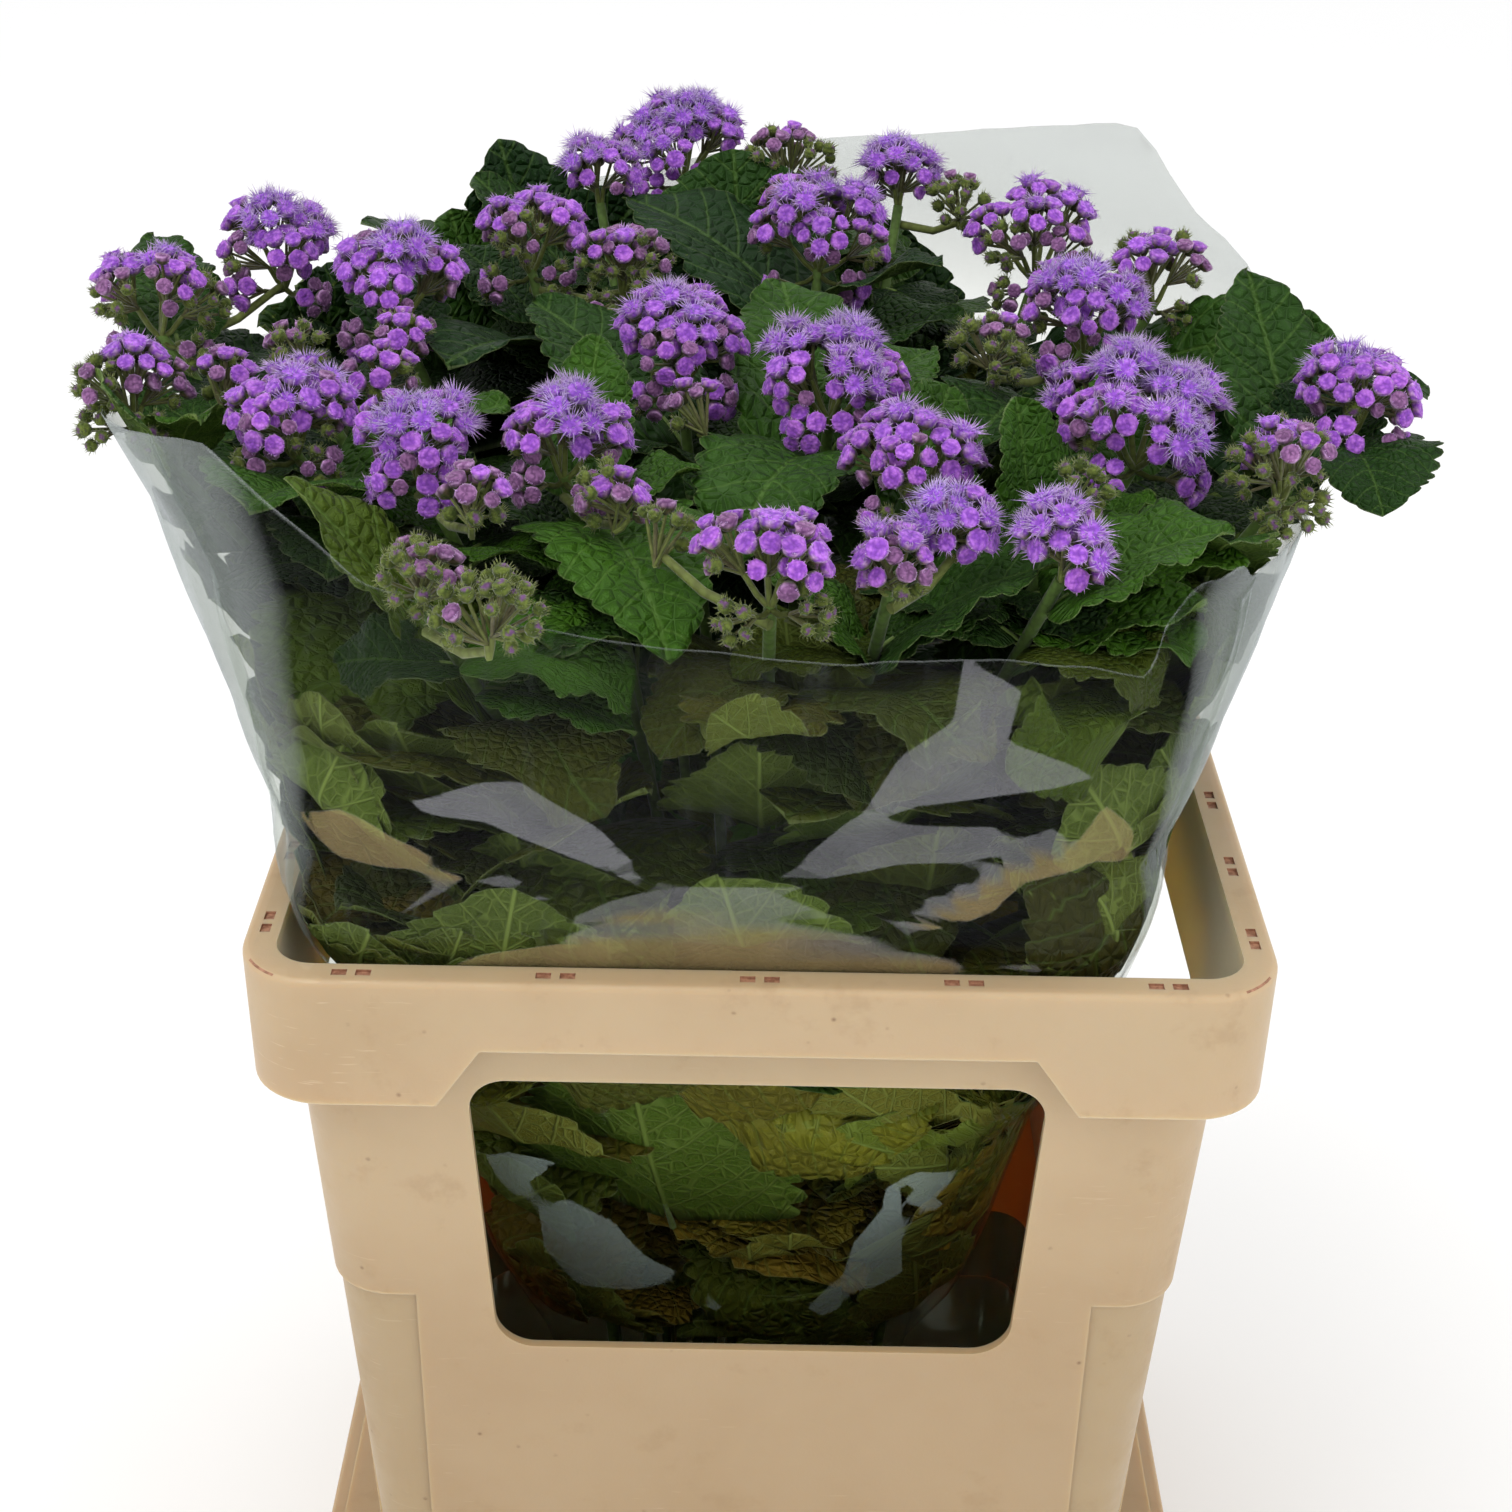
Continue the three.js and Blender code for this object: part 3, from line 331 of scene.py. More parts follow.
class Shader:
    """A node material with short calls for the nodes that these materials use."""

    def __init__(self, name):
        self.material = bpy.data.materials.new(name)
        self.material.use_nodes = True
        self.tree = self.material.node_tree
        self.tree.nodes.clear()
        self.output = self.node("ShaderNodeOutputMaterial")

    def node(self, kind, inputs=None, **settings):
        made = self.tree.nodes.new(kind)
        for key, value in settings.items():
            setattr(made, key, value)
        for key, value in (inputs or {}).items():
            self.put(made.inputs[key], value)
        return made

    def put(self, socket, value):
        if isinstance(value, bpy.types.NodeSocket):
            self.tree.links.new(value, socket)
        elif isinstance(value, bpy.types.Node):
            self.tree.links.new(value.outputs[0], socket)
        else:
            socket.default_value = value

    def attribute(self, name):
        return self.node("ShaderNodeAttribute", attribute_name=name)

    def place(self):
        return self.node("ShaderNodeTexCoord").outputs["Object"]

    def noise(self, vector, scale, detail=3, roughness=0.5):
        made = self.node("ShaderNodeTexNoise", {"Vector": vector, "Scale": scale, "Detail": detail,
                                                "Roughness": roughness})
        return made.outputs[0]

    def math(self, operation, a, b=0.0, clamp=False):
        made = self.node("ShaderNodeMath", operation=operation, use_clamp=clamp)
        self.put(made.inputs[0], a)
        self.put(made.inputs[1], b)
        return made.outputs[0]

    def plus(self, a, b):
        return self.math("ADD", a, b)

    def minus(self, a, b):
        return self.math("SUBTRACT", a, b)

    def times(self, a, b):
        return self.math("MULTIPLY", a, b)

    def most(self, a, b, clamp=False):
        return self.math("MAXIMUM", a, b, clamp)

    def span(self, value, low, high, out_low=0.0, out_high=1.0):
        """A soft step between two values."""
        made = self.node("ShaderNodeMapRange", interpolation_type="SMOOTHSTEP")
        for socket, given in zip(made.inputs, (value, low, high, out_low, out_high)):
            self.put(socket, given)
        return made.outputs[0]

    def mix(self, factor, a, b, blend="MIX"):
        made = self.node("ShaderNodeMix", data_type="RGBA", blend_type=blend)
        self.put(made.inputs[0], factor)
        self.put(made.inputs[6], a)
        self.put(made.inputs[7], b)
        return made.outputs[2]

    def split(self, vector):
        return self.node("ShaderNodeSeparateXYZ", {"Vector": vector}).outputs

    def stretched(self, vector, scale):
        return self.node("ShaderNodeMapping", {"Vector": vector, "Scale": scale}).outputs[0]

    def cells(self, vector, scale, randomness=1.0, **settings):
        """Distances in a pattern of cells."""
        made = self.node("ShaderNodeTexVoronoi", {"Vector": vector, "Scale": scale, "Randomness": randomness},
                         **settings)
        return made.outputs["Distance"]

    def bump(self, height, distance, strength=1.0):
        inputs = {"Height": height, "Distance": distance, "Strength": strength}
        return self.node("ShaderNodeBump", inputs).outputs[0]

    def translucent(self, color, normal):
        return self.node("ShaderNodeBsdfTranslucent", {"Color": color, "Normal": normal})

    def blend(self, share, first, second):
        """Two surfaces in one, with this share of the second."""
        return self.node("ShaderNodeMixShader", {0: share, 1: first, 2: second}).outputs[0]

    def principled(self, color, roughness, normal=None, **settings):
        made = self.node("ShaderNodeBsdfPrincipled")
        self.put(made.inputs["Base Color"], color)
        self.put(made.inputs["Roughness"], roughness)
        if normal is not None:
            self.put(made.inputs["Normal"], normal)
        for key, value in settings.items():
            self.put(made.inputs[key.replace("_", " ")], value)
        return made.outputs[0]

    def finish(self, surface):
        self.put(self.output.inputs["Surface"], surface)
        return self.material


def rgb(r, g, b, share=1.0):
    """A linear colour from the 0 to 255 values that a screen shows."""
    def linear(value):
        value /= 255
        return value / 12.92 if value <= 0.04045 else ((value + 0.055) / 1.055) ** 2.4
    return (linear(r) * share, linear(g) * share, linear(b) * share, 1.0)


CREAM, CREAM_SHADE = rgb(187, 163, 129), rgb(178, 152, 117)
# Of these, the low-wall colour is painted shade down the walls and the inner-wall colour is painted light
# inside the mouth; the smudge colour is dirt.
SMUDGED, PAINTED_LOW_SHADE, PAINTED_INNER_LIGHT = rgb(156, 128, 94), rgb(150, 122, 86), rgb(240, 220, 188)
DIRT, SCRATCH = rgb(104, 72, 46), rgb(222, 202, 170)


def plastic_material():
    """Moulded plastic with smudges, specks of dirt and scratches, with painted shade that makes it darker
    down the walls and painted light that makes it lighter inside the mouth."""
    s = Shader("cream_plastic")
    at = s.place()
    broad = s.noise(at, 9, 4, 0.6)
    color = s.mix(s.span(broad, 0.35, 0.7), CREAM, CREAM_SHADE)
    smudge = s.noise(at, 38, 5, 0.65)
    color = s.mix(s.span(smudge, 0.56, 0.72, 0, 0.32), color, SMUDGED)
    height_at = s.split(at)["Z"]
    # painted shade: darker towards the bottom of the walls, where less light falls
    color = s.mix(s.span(height_at, 0.38, 0.28, 0.0, 0.42), color, PAINTED_LOW_SHADE)
    speck = s.cells(at, 95.0)
    dirt = s.times(s.span(speck, 0.02, 0.11, 1, 0), s.span(smudge, 0.5, 0.62))
    color = s.mix(s.times(dirt, 0.75), color, DIRT)
    scratch = s.noise(s.stretched(at, (26.0, 26.0, 420.0)), 2.2, 2, 0.7)
    lines = s.times(s.span(scratch, 0.66, 0.72), s.span(broad, 0.45, 0.6))
    color = s.mix(s.times(lines, 0.3), color, SCRATCH)
    # painted light: faces that look inward near the rim are painted lighter
    facing_out = s.node("ShaderNodeVectorMath", {0: s.node("ShaderNodeNewGeometry").outputs["Normal"], 1: at},
                        operation="DOT_PRODUCT").outputs["Value"]
    inside = s.times(s.span(facing_out, -0.1, -0.03, 0.95, 0.0), s.span(height_at, 0.37, 0.41))
    color = s.mix(inside, color, PAINTED_INNER_LIGHT)
    grain = s.noise(at, 900, 2, 0.5)
    height = s.plus(s.times(grain, 0.25), s.times(smudge, 0.6))
    rough = s.span(smudge, 0.3, 0.7, 0.38, 0.56)
    return s.finish(s.principled(color, rough, s.bump(height, 0.0003, 0.5), Subsurface_Weight=0.4,
                                 Subsurface_Radius=(1.0, 0.62, 0.34), Subsurface_Scale=0.012))


def mark_material():
    """A darker, browner colour for the faces in the rim's slots."""
    s = Shader("mark_recess")
    patchy = s.noise(s.place(), 700, 3)
    color = s.mix(s.span(patchy, 0.3, 0.7), rgb(176, 128, 100), rgb(132, 88, 64))
    return s.finish(s.principled(color, 0.6, s.bump(patchy, 0.0002, 0.4)))


# ---------------------------------------------------------------- bucket and collar


def rounded(half_x, half_y, radius, middle_y=0):
    """Points round a rectangle that has arcs for corners, each with the side that it is on."""
    for corner, (side_x, side_y) in enumerate(((1, 1), (-1, 1), (-1, -1), (1, -1))):
        for step in range(ARC_STEPS + 1):
            turn = (corner + step / ARC_STEPS) * math.pi / 2
            yield (side_x * half_x + radius * math.cos(turn),
                   middle_y + side_y * half_y + radius * math.sin(turn), side_x)


def ring(inset, radius, z):
    """A level ring that follows the rim, this far inside it."""
    half_x, half_y = (half - inset - radius for half in RIM_HALF)
    return [(x, y, z) for x, y, _ in rounded(half_x, half_y, radius)]


def loft(rings):
    """A closed solid through rings that have the same number of points, from the lowest up."""
    made = bmesh.new()
    rows = [[made.verts.new([value * MM for value in point]) for point in row] for row in rings]
    count = len(rows[0])
    for low, high in zip(rows, rows[1:]):
        for i in range(count):
            made.faces.new((low[i], low[(i + 1) % count], high[(i + 1) % count], high[i]))
    made.faces.new(rows[0][::-1])
    made.faces.new(rows[-1])
    return from_bmesh(made)


def from_bmesh(made):
    mesh = bpy.data.meshes.new("part")
    made.to_mesh(mesh)
    made.free()
    return place("part", mesh)


def prism(outline, side):
    """A prism across the wall of side 'x' or 'y', from an outline drawn along the wall and up."""
    reach = max(RIM_HALF) + 10
    made = bmesh.new()
    turned = [(-a, z) for a, z in outline][::-1] if side == "x" else outline
    ends = []
    for end in (-reach, reach):
        row = [(a, end, z) if side == "y" else (end, -a, z) for a, z in turned]
        ends.append([made.verts.new([value * MM for value in point]) for point in row])
    count = len(outline)
    for i in range(count):
        made.faces.new((ends[0][i], ends[0][(i + 1) % count], ends[1][(i + 1) % count], ends[1][i]))
    made.faces.new(ends[0][::-1])
    made.faces.new(ends[1])
    bmesh.ops.recalc_face_normals(made, faces=made.faces)
    return from_bmesh(made)


def settle(piece):
    """Applies a piece's modifiers."""
    graph = bpy.context.evaluated_depsgraph_get()
    mesh = bpy.data.meshes.new_from_object(piece.evaluated_get(graph))
    piece.modifiers.clear()
    piece.data = mesh
    return piece


def combine(piece, other, operation="DIFFERENCE"):
    modifier = piece.modifiers.new("combine", "BOOLEAN")
    modifier.object, modifier.operation, modifier.solver = other, operation, "EXACT"
    settle(piece)
    bpy.data.objects.remove(other)
    return piece


def wall_inset(z, top):
    """How far the drafted wall stands inside the rim at a height."""
    return WALL_INSET + (top - z) * DRAFT


def wall_ring(z, top, inset):
    """A ring in the wall, this far under its outer face."""
    return ring(wall_inset(z, top) + inset, WALL_RADIUS - inset, z)


def rim_band(top, skirt):
    """The rim's bevelled edge and its skirt."""
    steps = 4
    bevel = []
    for a in (math.radians(90 * step / steps) for step in range(steps + 1)):
        inset = RIM_BEVEL * (1 - math.cos(a))
        bevel.append(ring(inset, RIM_RADIUS - inset, top - RIM_BEVEL * (1 - math.sin(a))))
    band = loft([ring(SKIRT_LEAN, RIM_RADIUS, top - skirt), *bevel])
    pocket = loft([ring(SKIRT_WALL + SKIRT_LEAN, RIM_RADIUS - SKIRT_WALL, top - skirt - CUT),
                   ring(SKIRT_WALL, RIM_RADIUS - SKIRT_WALL, top - WALL)])
    return combine(band, pocket)


def wall_to_rim(bottom, top, skirt_z):
    """A filled wall from its foot up to the rim, where it flares out."""
    return loft([wall_ring(bottom, skirt_z, 0), ring(WALL_INSET, WALL_RADIUS, skirt_z),
                 ring(RIM_FACE - WALL, NECK_RADIUS, top - CUT)])


def mouth_room(bottom, top, skirt_z):
    """The room inside a wall, which widens to the rim's inner edge."""
    return loft([wall_ring(bottom, skirt_z, WALL), wall_ring(skirt_z - NECK_HEIGHT, skirt_z, WALL),
                 ring(RIM_FACE, MOUTH_RADIUS, top - MOUTH_DEPTH), ring(RIM_FACE, MOUTH_RADIUS, top + CUT)])


def window_outline(along):
    """A window's outline: rounded, and a little narrower at its foot."""
    low, high = WINDOW_Z
    half, rise = RIM_HALF[along] - WINDOW_MARGIN, (high - low) / 2
    corners = rounded(half - WINDOW_RADIUS, rise - WINDOW_RADIUS, WINDOW_RADIUS, (low + high) / 2)
    return [(x + side * WINDOW_TAPER * (z - high), z) for x, z, side in corners]


def skirt_outline(along):
    """What is cut out of a skirt between its corners."""
    low = RIM_HALF[along] - SKIRT_CORNER
    bottom, upper = COLLAR_TOP - COLLAR_SKIRT - CUT, COLLAR_TOP - COLLAR_SKIRT_MIDDLE
    return [(-low, bottom), (low, bottom), (low - SKIRT_SLOPE, upper), (SKIRT_SLOPE - low, upper)]


def post_recess(bottom, skirt_z):
    """What is cut off the corner posts under their step."""
    outer = loft([ring(0, RIM_RADIUS, bottom), ring(0, RIM_RADIUS, POST_STEP_Z)])
    low, high = bottom - CUT, POST_STEP_Z + CUT
    combine(outer, loft([wall_ring(z, skirt_z, POST_STEP) for z in (low, high)]))
    for along, side in ((0, "y"), (1, "x")):
        half = RIM_HALF[along] - POST_WIDTH
        combine(outer, prism([(-half, low), (half, low), (half, high), (-half, high)], side))
    return outer


def mark_slots():
    """The pairs of small slots moulded into the rim's face, all round."""
    made = bmesh.new()
    long, wide, deep = MARK_SIZE
    for along in (0, 1):
        size = (long, wide, 2 * deep) if along == 0 else (wide, long, 2 * deep)
        scale = Matrix.Diagonal([v * MM for v in size] + [1])
        for number in range(MARK_COUNT[along]):
            centre = (number - (MARK_COUNT[along] - 1) / 2) * MARK_PITCH[along]
            for side in (-1, 1):
                for half in (-0.5, 0.5):
                    spot = [0, 0, COLLAR_TOP]
                    spot[along] = centre + half * MARK_GAP
                    spot[1 - along] = side * (RIM_HALF[1 - along] - MARK_INSET)
                    matrix = Matrix.Translation([v * MM for v in spot]) @ scale
                    bmesh.ops.create_cube(made, size=1, matrix=matrix)
    return from_bmesh(made)


# A face in a slot lies deeper than this under the rim, and is smaller, in square metres.
SLOT_LIP, SLOT_AREA = 0.1 * MM, 4e-5


def is_in_slot(face):
    """Whether a face is the floor or a side of a slot in the rim."""
    _, wide, deep = (value * MM for value in MARK_SIZE)
    low = COLLAR_TOP * MM - face.center.z
    near = min(abs(abs(face.center[k]) - (RIM_HALF[k] - MARK_INSET) * MM) for k in (0, 1))
    return SLOT_LIP < low < deep + SLOT_LIP and near < 0.55 * wide and face.area < SLOT_AREA


SHARP_EDGE = math.radians(32)


def finish_moulding(piece, name, width):
    """Rounds the edges of a moulded piece, and marks the faces inside the rim's slots."""
    bevel = piece.modifiers.new("round", "BEVEL")
    bevel.width, bevel.segments, bevel.limit_method = width * MM, 2, "ANGLE"
    bevel.angle_limit, bevel.harden_normals = SHARP_EDGE, True
    bevel.use_clamp_overlap, bevel.miter_outer = True, "MITER_ARC"
    piece.data.polygons.foreach_set("use_smooth", np.ones(len(piece.data.polygons), bool))
    settle(piece)
    piece.name = piece.data.name = name
    piece.data.materials.clear()
    piece.data.materials.append(PLASTIC)
    piece.data.materials.append(MARK)
    for face in piece.data.polygons:
        face.material_index = int(is_in_slot(face))
    return piece


def make_bucket():
    skirt_z = BUCKET_TOP - BUCKET_SKIRT
    body = combine(wall_to_rim(0, BUCKET_TOP, skirt_z), rim_band(BUCKET_TOP, BUCKET_SKIRT), "UNION")
    combine(body, mouth_room(BUCKET_FLOOR, BUCKET_TOP, skirt_z))
    return finish_moulding(body, "bucket_shell", 0.6)


def make_spigot(foot):
    """The collar's slim lower edge, which reaches into the bucket's mouth."""
    clearance, depth = COLLAR_SPIGOT
    inset, radius = RIM_FACE + clearance, MOUTH_RADIUS - 2
    spigot = loft([ring(inset + 1, radius, foot - depth), ring(inset, radius, foot + CUT)])
    room = loft([ring(inset + 1 + WALL, radius, foot - depth - CUT), ring(inset + WALL, radius, foot)])
    return combine(spigot, room)


def make_collar():
    skirt_z = COLLAR_TOP - COLLAR_SKIRT
    foot = BUCKET_TOP + SEAT
    flange_inset, flange_thick = COLLAR_FLANGE
    rim = rim_band(COLLAR_TOP, COLLAR_SKIRT)
    for along, side in ((0, "y"), (1, "x")):
        combine(rim, prism(skirt_outline(along), side))
    body = combine(wall_to_rim(foot, COLLAR_TOP, skirt_z), post_recess(foot + flange_thick, skirt_z))
    combine(body, rim, "UNION")
    flange = [ring(flange_inset, RIM_RADIUS - flange_inset, z) for z in (foot, foot + flange_thick)]
    combine(body, loft(flange), "UNION")
    combine(body, make_spigot(foot), "UNION")
    combine(body, mouth_room(foot - CUT, COLLAR_TOP, skirt_z))
    for along, side in ((0, "y"), (1, "x")):
        combine(body, prism(window_outline(along), side))
    combine(body, mark_slots())
    return finish_moulding(body, "collar_shell", 0.7)


PLASTIC, MARK = plastic_material(), mark_material()
stand_for(make_bucket(), "bucket")
stand_for(make_collar(), "collar")


# ---------------------------------------------------------------- stems and leaves


def stem_feet():
    """Where the stems stand: the tops' plan scaled down, then pushed apart to the least spacing."""
    feet = [np.array([row[0][0] * FOOT_SCALE, row[0][1] * FOOT_SCALE]) for row in STEMS]
    for _ in range(60):
        for i in range(len(feet)):
            for j in range(i + 1, len(feet)):
                apart = feet[j] - feet[i]
                distance = math.hypot(*apart)
                if distance < FOOT_SPACING:
                    step = apart / distance * (FOOT_SPACING - distance) / 2
                    feet[i] = feet[i] - step
                    feet[j] = feet[j] + step
    return feet


FEET = stem_feet()


def underside(cluster):
    """The height of a cluster's lowest point."""
    return COLLAR_TOP + cluster[2] - cluster[3] * CORE_SHARE * CORE_FLATNESS


def stalk_points(index):
    """Where a stem bends: upright in the water, then fanning out, then a last stretch to its cluster."""
    x, y, *_ = main = STEMS[index][0]
    foot = np.array([*FEET[index], FAN_START])
    under = underside(main)
    top = np.array([x * (1 - STALK_LEAN), y * (1 - STALK_LEAN), under - STALK])
    fan = []
    for z in STEM_RINGS:
        share = ((z - FAN_START) / (top[2] - FAN_START)) ** FAN_POWER
        fan.append(np.array([*(foot + (top - foot) * share)[:2], z]))
    lean = math.atan2(math.hypot(x, y) * STALK_LEAN, STALK)
    edge = STEM_RADIUS * max(math.sin(lean) - UNDERSIDE_SLOPE * math.cos(lean), 0)
    start = np.array([*FEET[index], BUCKET_FLOOR + SEAT])
    return [start, foot, *fan, top, np.array([x, y, under - SEAT - edge])]


STALKS = [stalk_points(index) for index in range(len(STEMS))]


def stalk_point(index, z):
    """A stem's middle at a height."""
    points = STALKS[index]
    high = max(next((i for i, point in enumerate(points) if point[2] > z), len(points) - 1), 1)
    low, up = points[high - 1], points[high]
    return low + (up - low) * (z - low[2]) / (up[2] - low[2])


def between(rows, places, is_turn=False):
    """What rows hold at places that are counted in rows."""
    low = np.minimum(np.floor(places).astype(int), len(rows) - 2)
    found = rows[low] + (rows[low + 1] - rows[low]) * (places - low)[..., None]
    return unit(found) if is_turn else found


def leaf_line(base, azimuth, rise, arch, length):
    """The frame's arching midrib and its headings, as functions of the share of the length."""
    steps = 12
    lifts = rise - arch * np.arange(steps + 1) / steps
    headings = np.stack([np.cos(lifts) * math.cos(azimuth), np.cos(lifts) * math.sin(azimuth),
                         np.sin(lifts)], -1)
    points = np.concatenate([[base], base + np.cumsum(headings[:steps], axis=0) * length / steps])
    return (lambda t: between(points, np.asarray(t) * steps),
            lambda t: between(headings, np.asarray(t) * steps, True))


def turned(vectors, axes, angle):
    """Vectors turned about unit axes."""
    cos, sin = math.cos(angle), math.sin(angle)
    dot = np.sum(vectors * axes, axis=-1, keepdims=True)
    return vectors * cos + np.cross(axes, vectors) * sin + axes * dot * (1 - cos)


def asked_leaves():
    """The frame's own list of leaves: stem, foot's height, azimuth, rise, arch, roll, length, width."""
    for stem, height, azimuth, rise, arch, length, width, roll in SHOWN_LEAVES:
        angles = (math.radians(angle) for angle in (azimuth, rise, arch, roll))
        yield (stem - 1, COLLAR_TOP + height, *angles, length, width)
    for pair, (depth, spread, rise, arch, length, width, least_out, share) in enumerate(LEAF_PAIRS):
        for stem, (main, *_) in enumerate(STEMS):
            out = math.hypot(main[0] / BUNDLE_HALF[0], main[1] / BUNDLE_HALF[1])
            if out < least_out or draw(stem * 3 + pair * 11) > share:
                continue
            outward = math.atan2(main[1], main[0]) + PAIR_TWIST * (draw(stem * 7 + pair) - 0.5)
            for side in (-1, 1):
                size = 0.85 + 0.3 * draw(stem * 13 + pair * 5 + side)
                azimuth = outward + side * math.radians(spread)
                yield (stem, underside(main) - depth, azimuth, math.radians(rise), math.radians(arch), 0,
                       length * size, width * size)


def stem_trees():
    """For each stem, a search tree of the points of its node."""
    for index in range(len(STEMS)):
        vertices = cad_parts[f"stem_{index + 1:02d}"].data.vertices
        tree = KDTree(len(vertices))
        for i, vertex in enumerate(vertices):
            tree.insert(vertex.co, i)
        tree.balance()
        yield tree


def built_leaves():
    """The leaves that stand in the frame, each as the one of its tries whose tip is in the node's mesh, and
    how many of them are of those that show."""
    trees = list(stem_trees())
    found, shown = [], 0
    for number, (stem, height, azimuth, rise, arch, roll, length, width) in enumerate(asked_leaves()):
        base = stalk_point(stem, height)
        for turn, more, size in LEAF_TRIES:
            way, lift = azimuth + math.radians(turn), rise + math.radians(more)
            midrib, _ = leaf_line(base, way, lift, arch, length * size)
            if trees[stem].find(midrib(np.array([1.0]))[0] * MM)[2] < 0.6 * BLADE * MM:
                found.append((stem, base, way, lift, arch, length * size, width * size, roll))
                shown += number < len(SHOWN_LEAVES)
                break
    return found, shown


FRAME_LEAVES, SHOWN_COUNT = built_leaves()


SECTION_Z, *SECTION_ROWS = zip(*FILM_SECTIONS)


def film_section(z):
    """The film's reach to the left, right, front and back at a height, and how square it is."""
    return [np.interp(z, SECTION_Z, row) for row in SECTION_ROWS]


def film_share(points):
    """1 on the film, less inside it."""
    x, y, z = np.moveaxis(np.asarray(points, float), -1, 0)
    left, right, front, back, square = film_section(z)
    reach_x = np.where(x > 0, right, -left)
    reach_y = np.where(y > 0, back, -front)
    return ((np.abs(x) / reach_x) ** square + (np.abs(y) / reach_y) ** square + 1e-9) ** (1 / square)


def film_room(points):
    """How far inside the film each point lies, in mm, and the film's outward direction there."""
    points = np.asarray(points, float)
    step = 0.5
    share = film_share(points)
    slope = np.stack([(film_share(points + step * axis) - film_share(points - step * axis)) / (2 * step)
                      for axis in np.eye(3)], -1)
    steep = np.linalg.norm(slope, axis=-1)
    return (1 - share) / np.maximum(steep, 1e-6), slope / np.maximum(steep, 1e-6)[..., None]


def film_point(turn, z, inset):
    """Points of the sleeve at a turn of its outline, a height and a distance inside."""
    left, right, front, back, square = film_section(z)
    cos, sin = np.cos(turn), np.sin(turn)
    reach_x = np.where(cos > 0, right, -left) - inset
    reach_y = np.where(sin > 0, back, -front) - inset
    x = reach_x * np.sign(cos) * np.abs(cos) ** (2 / square)
    y = reach_y * np.sign(sin) * np.abs(sin) ** (2 / square)
    return np.stack([x, y, z], -1)


def film_edge(angle):
    """Height of the sleeve's mouth at an angle in degrees."""
    return np.interp(angle, *zip(*FILM_EDGE), period=360)


# A blade's half width along the leaf, without its teeth.
OUTLINE_T = (0.14, 0.15, 0.165, 0.19, 0.23, 0.29, 0.37, 0.46, 0.56, 0.66, 0.76, 0.86, 0.93, 0.975, 1)
OUTLINE_W = (0.05, 0.27, 0.54, 0.76, 0.91, 1.0, 1.02, 1.0, 0.94, 0.85, 0.71, 0.51, 0.33, 0.18, 0.015)
LATERALS = 6.5  # pairs of side veins
BLADE_FROM = 0.14
MARGIN_SPAN = 10
LEAF_THICK = 0.28  # half of it
MIDRIB_WIDE = 0.012
FINE, FAIR, PLAIN = (11, 4, 8), (10, 3, 6), (8, 2, 4)  # teeth, rows for each tooth, columns
STALK_TINT = (*rgb(112, 138, 66)[:3], 1)


def blade_grid(detail):
    """Shares along and across a blade at each of its points, and how deep its crenate margin is cut."""
    teeth, per_tooth, columns = detail
    rows = teeth * per_tooth + 1
    t = BLADE_FROM + (1 - BLADE_FROM) * (np.arange(rows) / (rows - 1))
    v = np.linspace(-1, 1, columns + 1)
    v = np.sign(v) * np.abs(v) ** 0.85
    tt, vv = np.meshgrid(t, v, indexing="ij")
    notch = np.abs(np.sin(np.arange(rows) * math.pi / per_tooth))[:, None] ** 0.7
    return tt, vv, notch


def blade_lift(tt, vv, wide, half, away, fold, pucker, mood):
    """How high a blade stands over its plane: folded, quilted between its veins, and ruffled."""
    rng = np.random.default_rng(int(mood * 1e6))
    share = np.abs(vv) * wide
    lift = half * share * fold * (1 - 0.5 * share)
    q = (tt - 0.75 * away - 1.2 * away ** 2) * LATERALS + 0.3 * mood
    quilt = np.abs(np.sin(math.pi * q)) ** 0.6
    rim = np.clip((1 - np.abs(vv)) * 3, 0.15, 1)
    lift = lift + pucker * (quilt - 0.45) * rim * np.clip(away * 22, 0, 1) * np.clip((1 - tt) * 5, 0, 1)
    ruffle = np.sin(2 * math.pi * (tt * rng.uniform(2.2, 3.4) + rng.random() + 0.25 * np.sign(vv)))
    lift = lift + 2.2 * pucker * ruffle * np.abs(vv) ** 3 * np.clip((tt - 0.15) * 6, 0, 1)
    return lift - 0.5 * np.exp(-(away / MIDRIB_WIDE) ** 2)


def kept_inside(points, room):
    """Points that are under the film's mouth, moved to this far inside the film."""
    angle = np.degrees(np.arctan2(points[..., 1], points[..., 0]))
    for _ in range(3):
        inside, out = film_room(points)
        over = np.where(points[..., 2] < film_edge(angle) + 4, np.maximum(room - inside, 0), 0)
        points = points - out * over[..., None]
    return points


